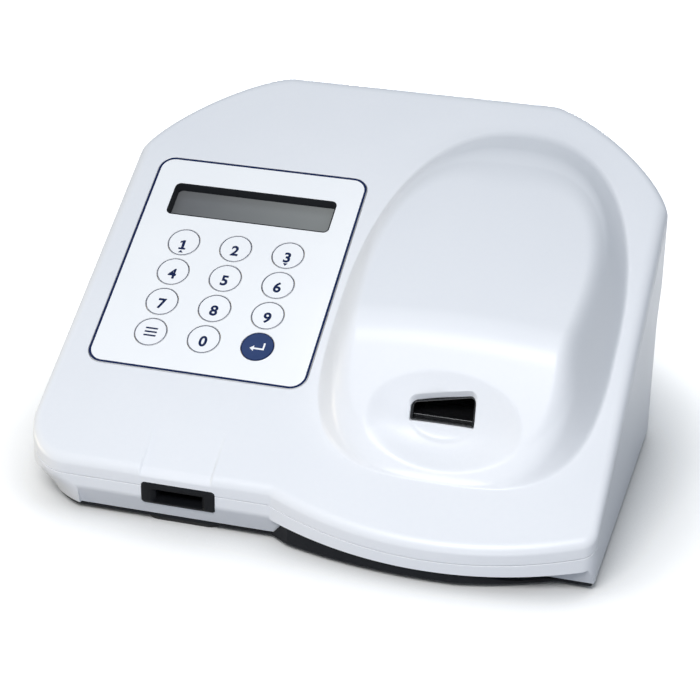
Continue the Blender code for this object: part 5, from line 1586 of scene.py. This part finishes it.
def make_stage():
    """A pale floor with a soft shadow, which runs out to white behind."""
    bm = bmesh.new()
    bmesh.ops.create_grid(bm, x_segments=2, y_segments=2, size=FLOOR_SIZE)
    floor = mesh_object("floor", bm)
    material = bpy.data.materials.new("floor_pale")
    material.use_nodes = True
    tree = material.node_tree
    tree.nodes.clear()
    centre = add_node(tree, "TexCoord").outputs["Object"]
    away = add_node(tree, "VectorMath", {0: centre}, operation="LENGTH").outputs["Value"]
    limits = {"From Min": FLOOR_NEAR, "From Max": FLOOR_FAR, "To Min": FLOOR_GLOW, "To Max": 1}
    ramp = add_node(tree, "MapRange", {"Value": away, **limits}, interpolation_type="SMOOTHSTEP")
    near = add_node(tree, "AmbientOcclusion", {"Distance": SHADOW_REACH}, samples=SHADOW_SAMPLES)
    deep = add_node(tree, "Math", {0: near.outputs["AO"], 1: SHADOW_DEPTH}, operation="POWER").outputs[0]
    shade = add_node(tree, "Math", {0: deep, 1: ramp.outputs["Result"]}, operation="MULTIPLY").outputs[0]
    diffuse = add_node(tree, "BsdfDiffuse", {"Color": FLOOR_COLOR}).outputs[0]
    glow = add_node(tree, "Emission", {"Strength": shade}).outputs[0]
    lit = add_node(tree, "AddShader", {0: diffuse, 1: glow}).outputs[0]
    bounce = add_node(tree, "BsdfDiffuse", {"Color": FLOOR_BOUNCE}).outputs[0]
    path = add_node(tree, "LightPath").outputs
    rays = {0: path["Is Camera Ray"], 1: path["Is Glossy Ray"]}
    seen = add_node(tree, "Math", rays, operation="ADD", use_clamp=True).outputs[0]
    mix = add_node(tree, "MixShader", {"Fac": seen, 1: bounce, 2: lit}).outputs[0]
    add_node(tree, "OutputMaterial", {"Surface": mix})
    floor.data.materials.append(material)


def make_world():
    """Soft grey light from all round, and white where the camera looks past the floor."""
    world = bpy.data.worlds.new("studio")
    bpy.context.scene.world = world
    world.use_nodes = True
    tree = world.node_tree
    tree.nodes.clear()
    ambient = add_node(tree, "Background", {"Color": AMBIENT_COLOR, "Strength": AMBIENT}).outputs[0]
    white = add_node(tree, "Background", {"Color": (1, 1, 1, 1)}).outputs[0]
    seen = add_node(tree, "LightPath").outputs["Is Camera Ray"]
    mix = add_node(tree, "MixShader", {"Fac": seen, 1: ambient, 2: white}).outputs[0]
    add_node(tree, "OutputWorld", {"Surface": mix})


def area_light(name, place, target, size, power, color):
    data = bpy.data.lights.new(name, "AREA")
    data.shape = "RECTANGLE"
    data.size, data.size_y = size
    data.energy = power
    data.color = color
    light = bpy.data.objects.new(name, data)
    light.location = place
    light.rotation_euler = (Vector(target) - Vector(place)).to_track_quat("-Z", "Y").to_euler()
    bpy.context.collection.objects.link(light)


def make_lights():
    for name, row in LAMPS.items():
        area_light(name, *row)


def make_camera():
    data = bpy.data.cameras.new("camera")
    data.sensor_width = SENSOR_WIDTH
    data.lens = SENSOR_WIDTH * FOCAL_PIXELS / PICTURE_PIXELS
    camera = bpy.data.objects.new("camera", data)
    right = Vector(CAMERA_RIGHT).normalized()
    up = Vector(CAMERA_UP)
    up = (up - right * up.dot(right)).normalized()
    turn = Matrix((right, up, right.cross(up))).transposed()
    camera.matrix_world = Matrix.Translation(CAMERA_PLACE) @ turn.to_4x4()
    bpy.context.collection.objects.link(camera)
    bpy.context.scene.camera = camera


def main():
    bpy.context.scene.view_settings.view_transform = "Standard"
    finishes = make_finishes()
    dress_nodes(finishes)
    cover, face = make_cover(finishes["white"])
    place(cover, "case", "case_white", "top_cover")
    place(make_base(finishes["white"]), "case", "case_white", "base_shell")
    place(make_sheet(finishes["film"]), "case", "overlay_white", "keypad_overlay")
    place(make_window_wall(finishes["black"]), "case", "black", "display_bezel")
    place(make_plate(finishes["black"]), "case", "black", "bottom_plate")
    place(make_port_frame(finishes["black"]), "case", "black", "port_bezel")
    place(make_liner(finishes["gloss_black"], face), "case", "black", "slot_liner")
    place(make_sill(finishes["gloss_black"], face), "case", "black", "slot_liner")
    make_sockets(finishes)
    make_print(finishes)
    make_stage()
    make_world()
    make_lights()
    make_camera()


main()
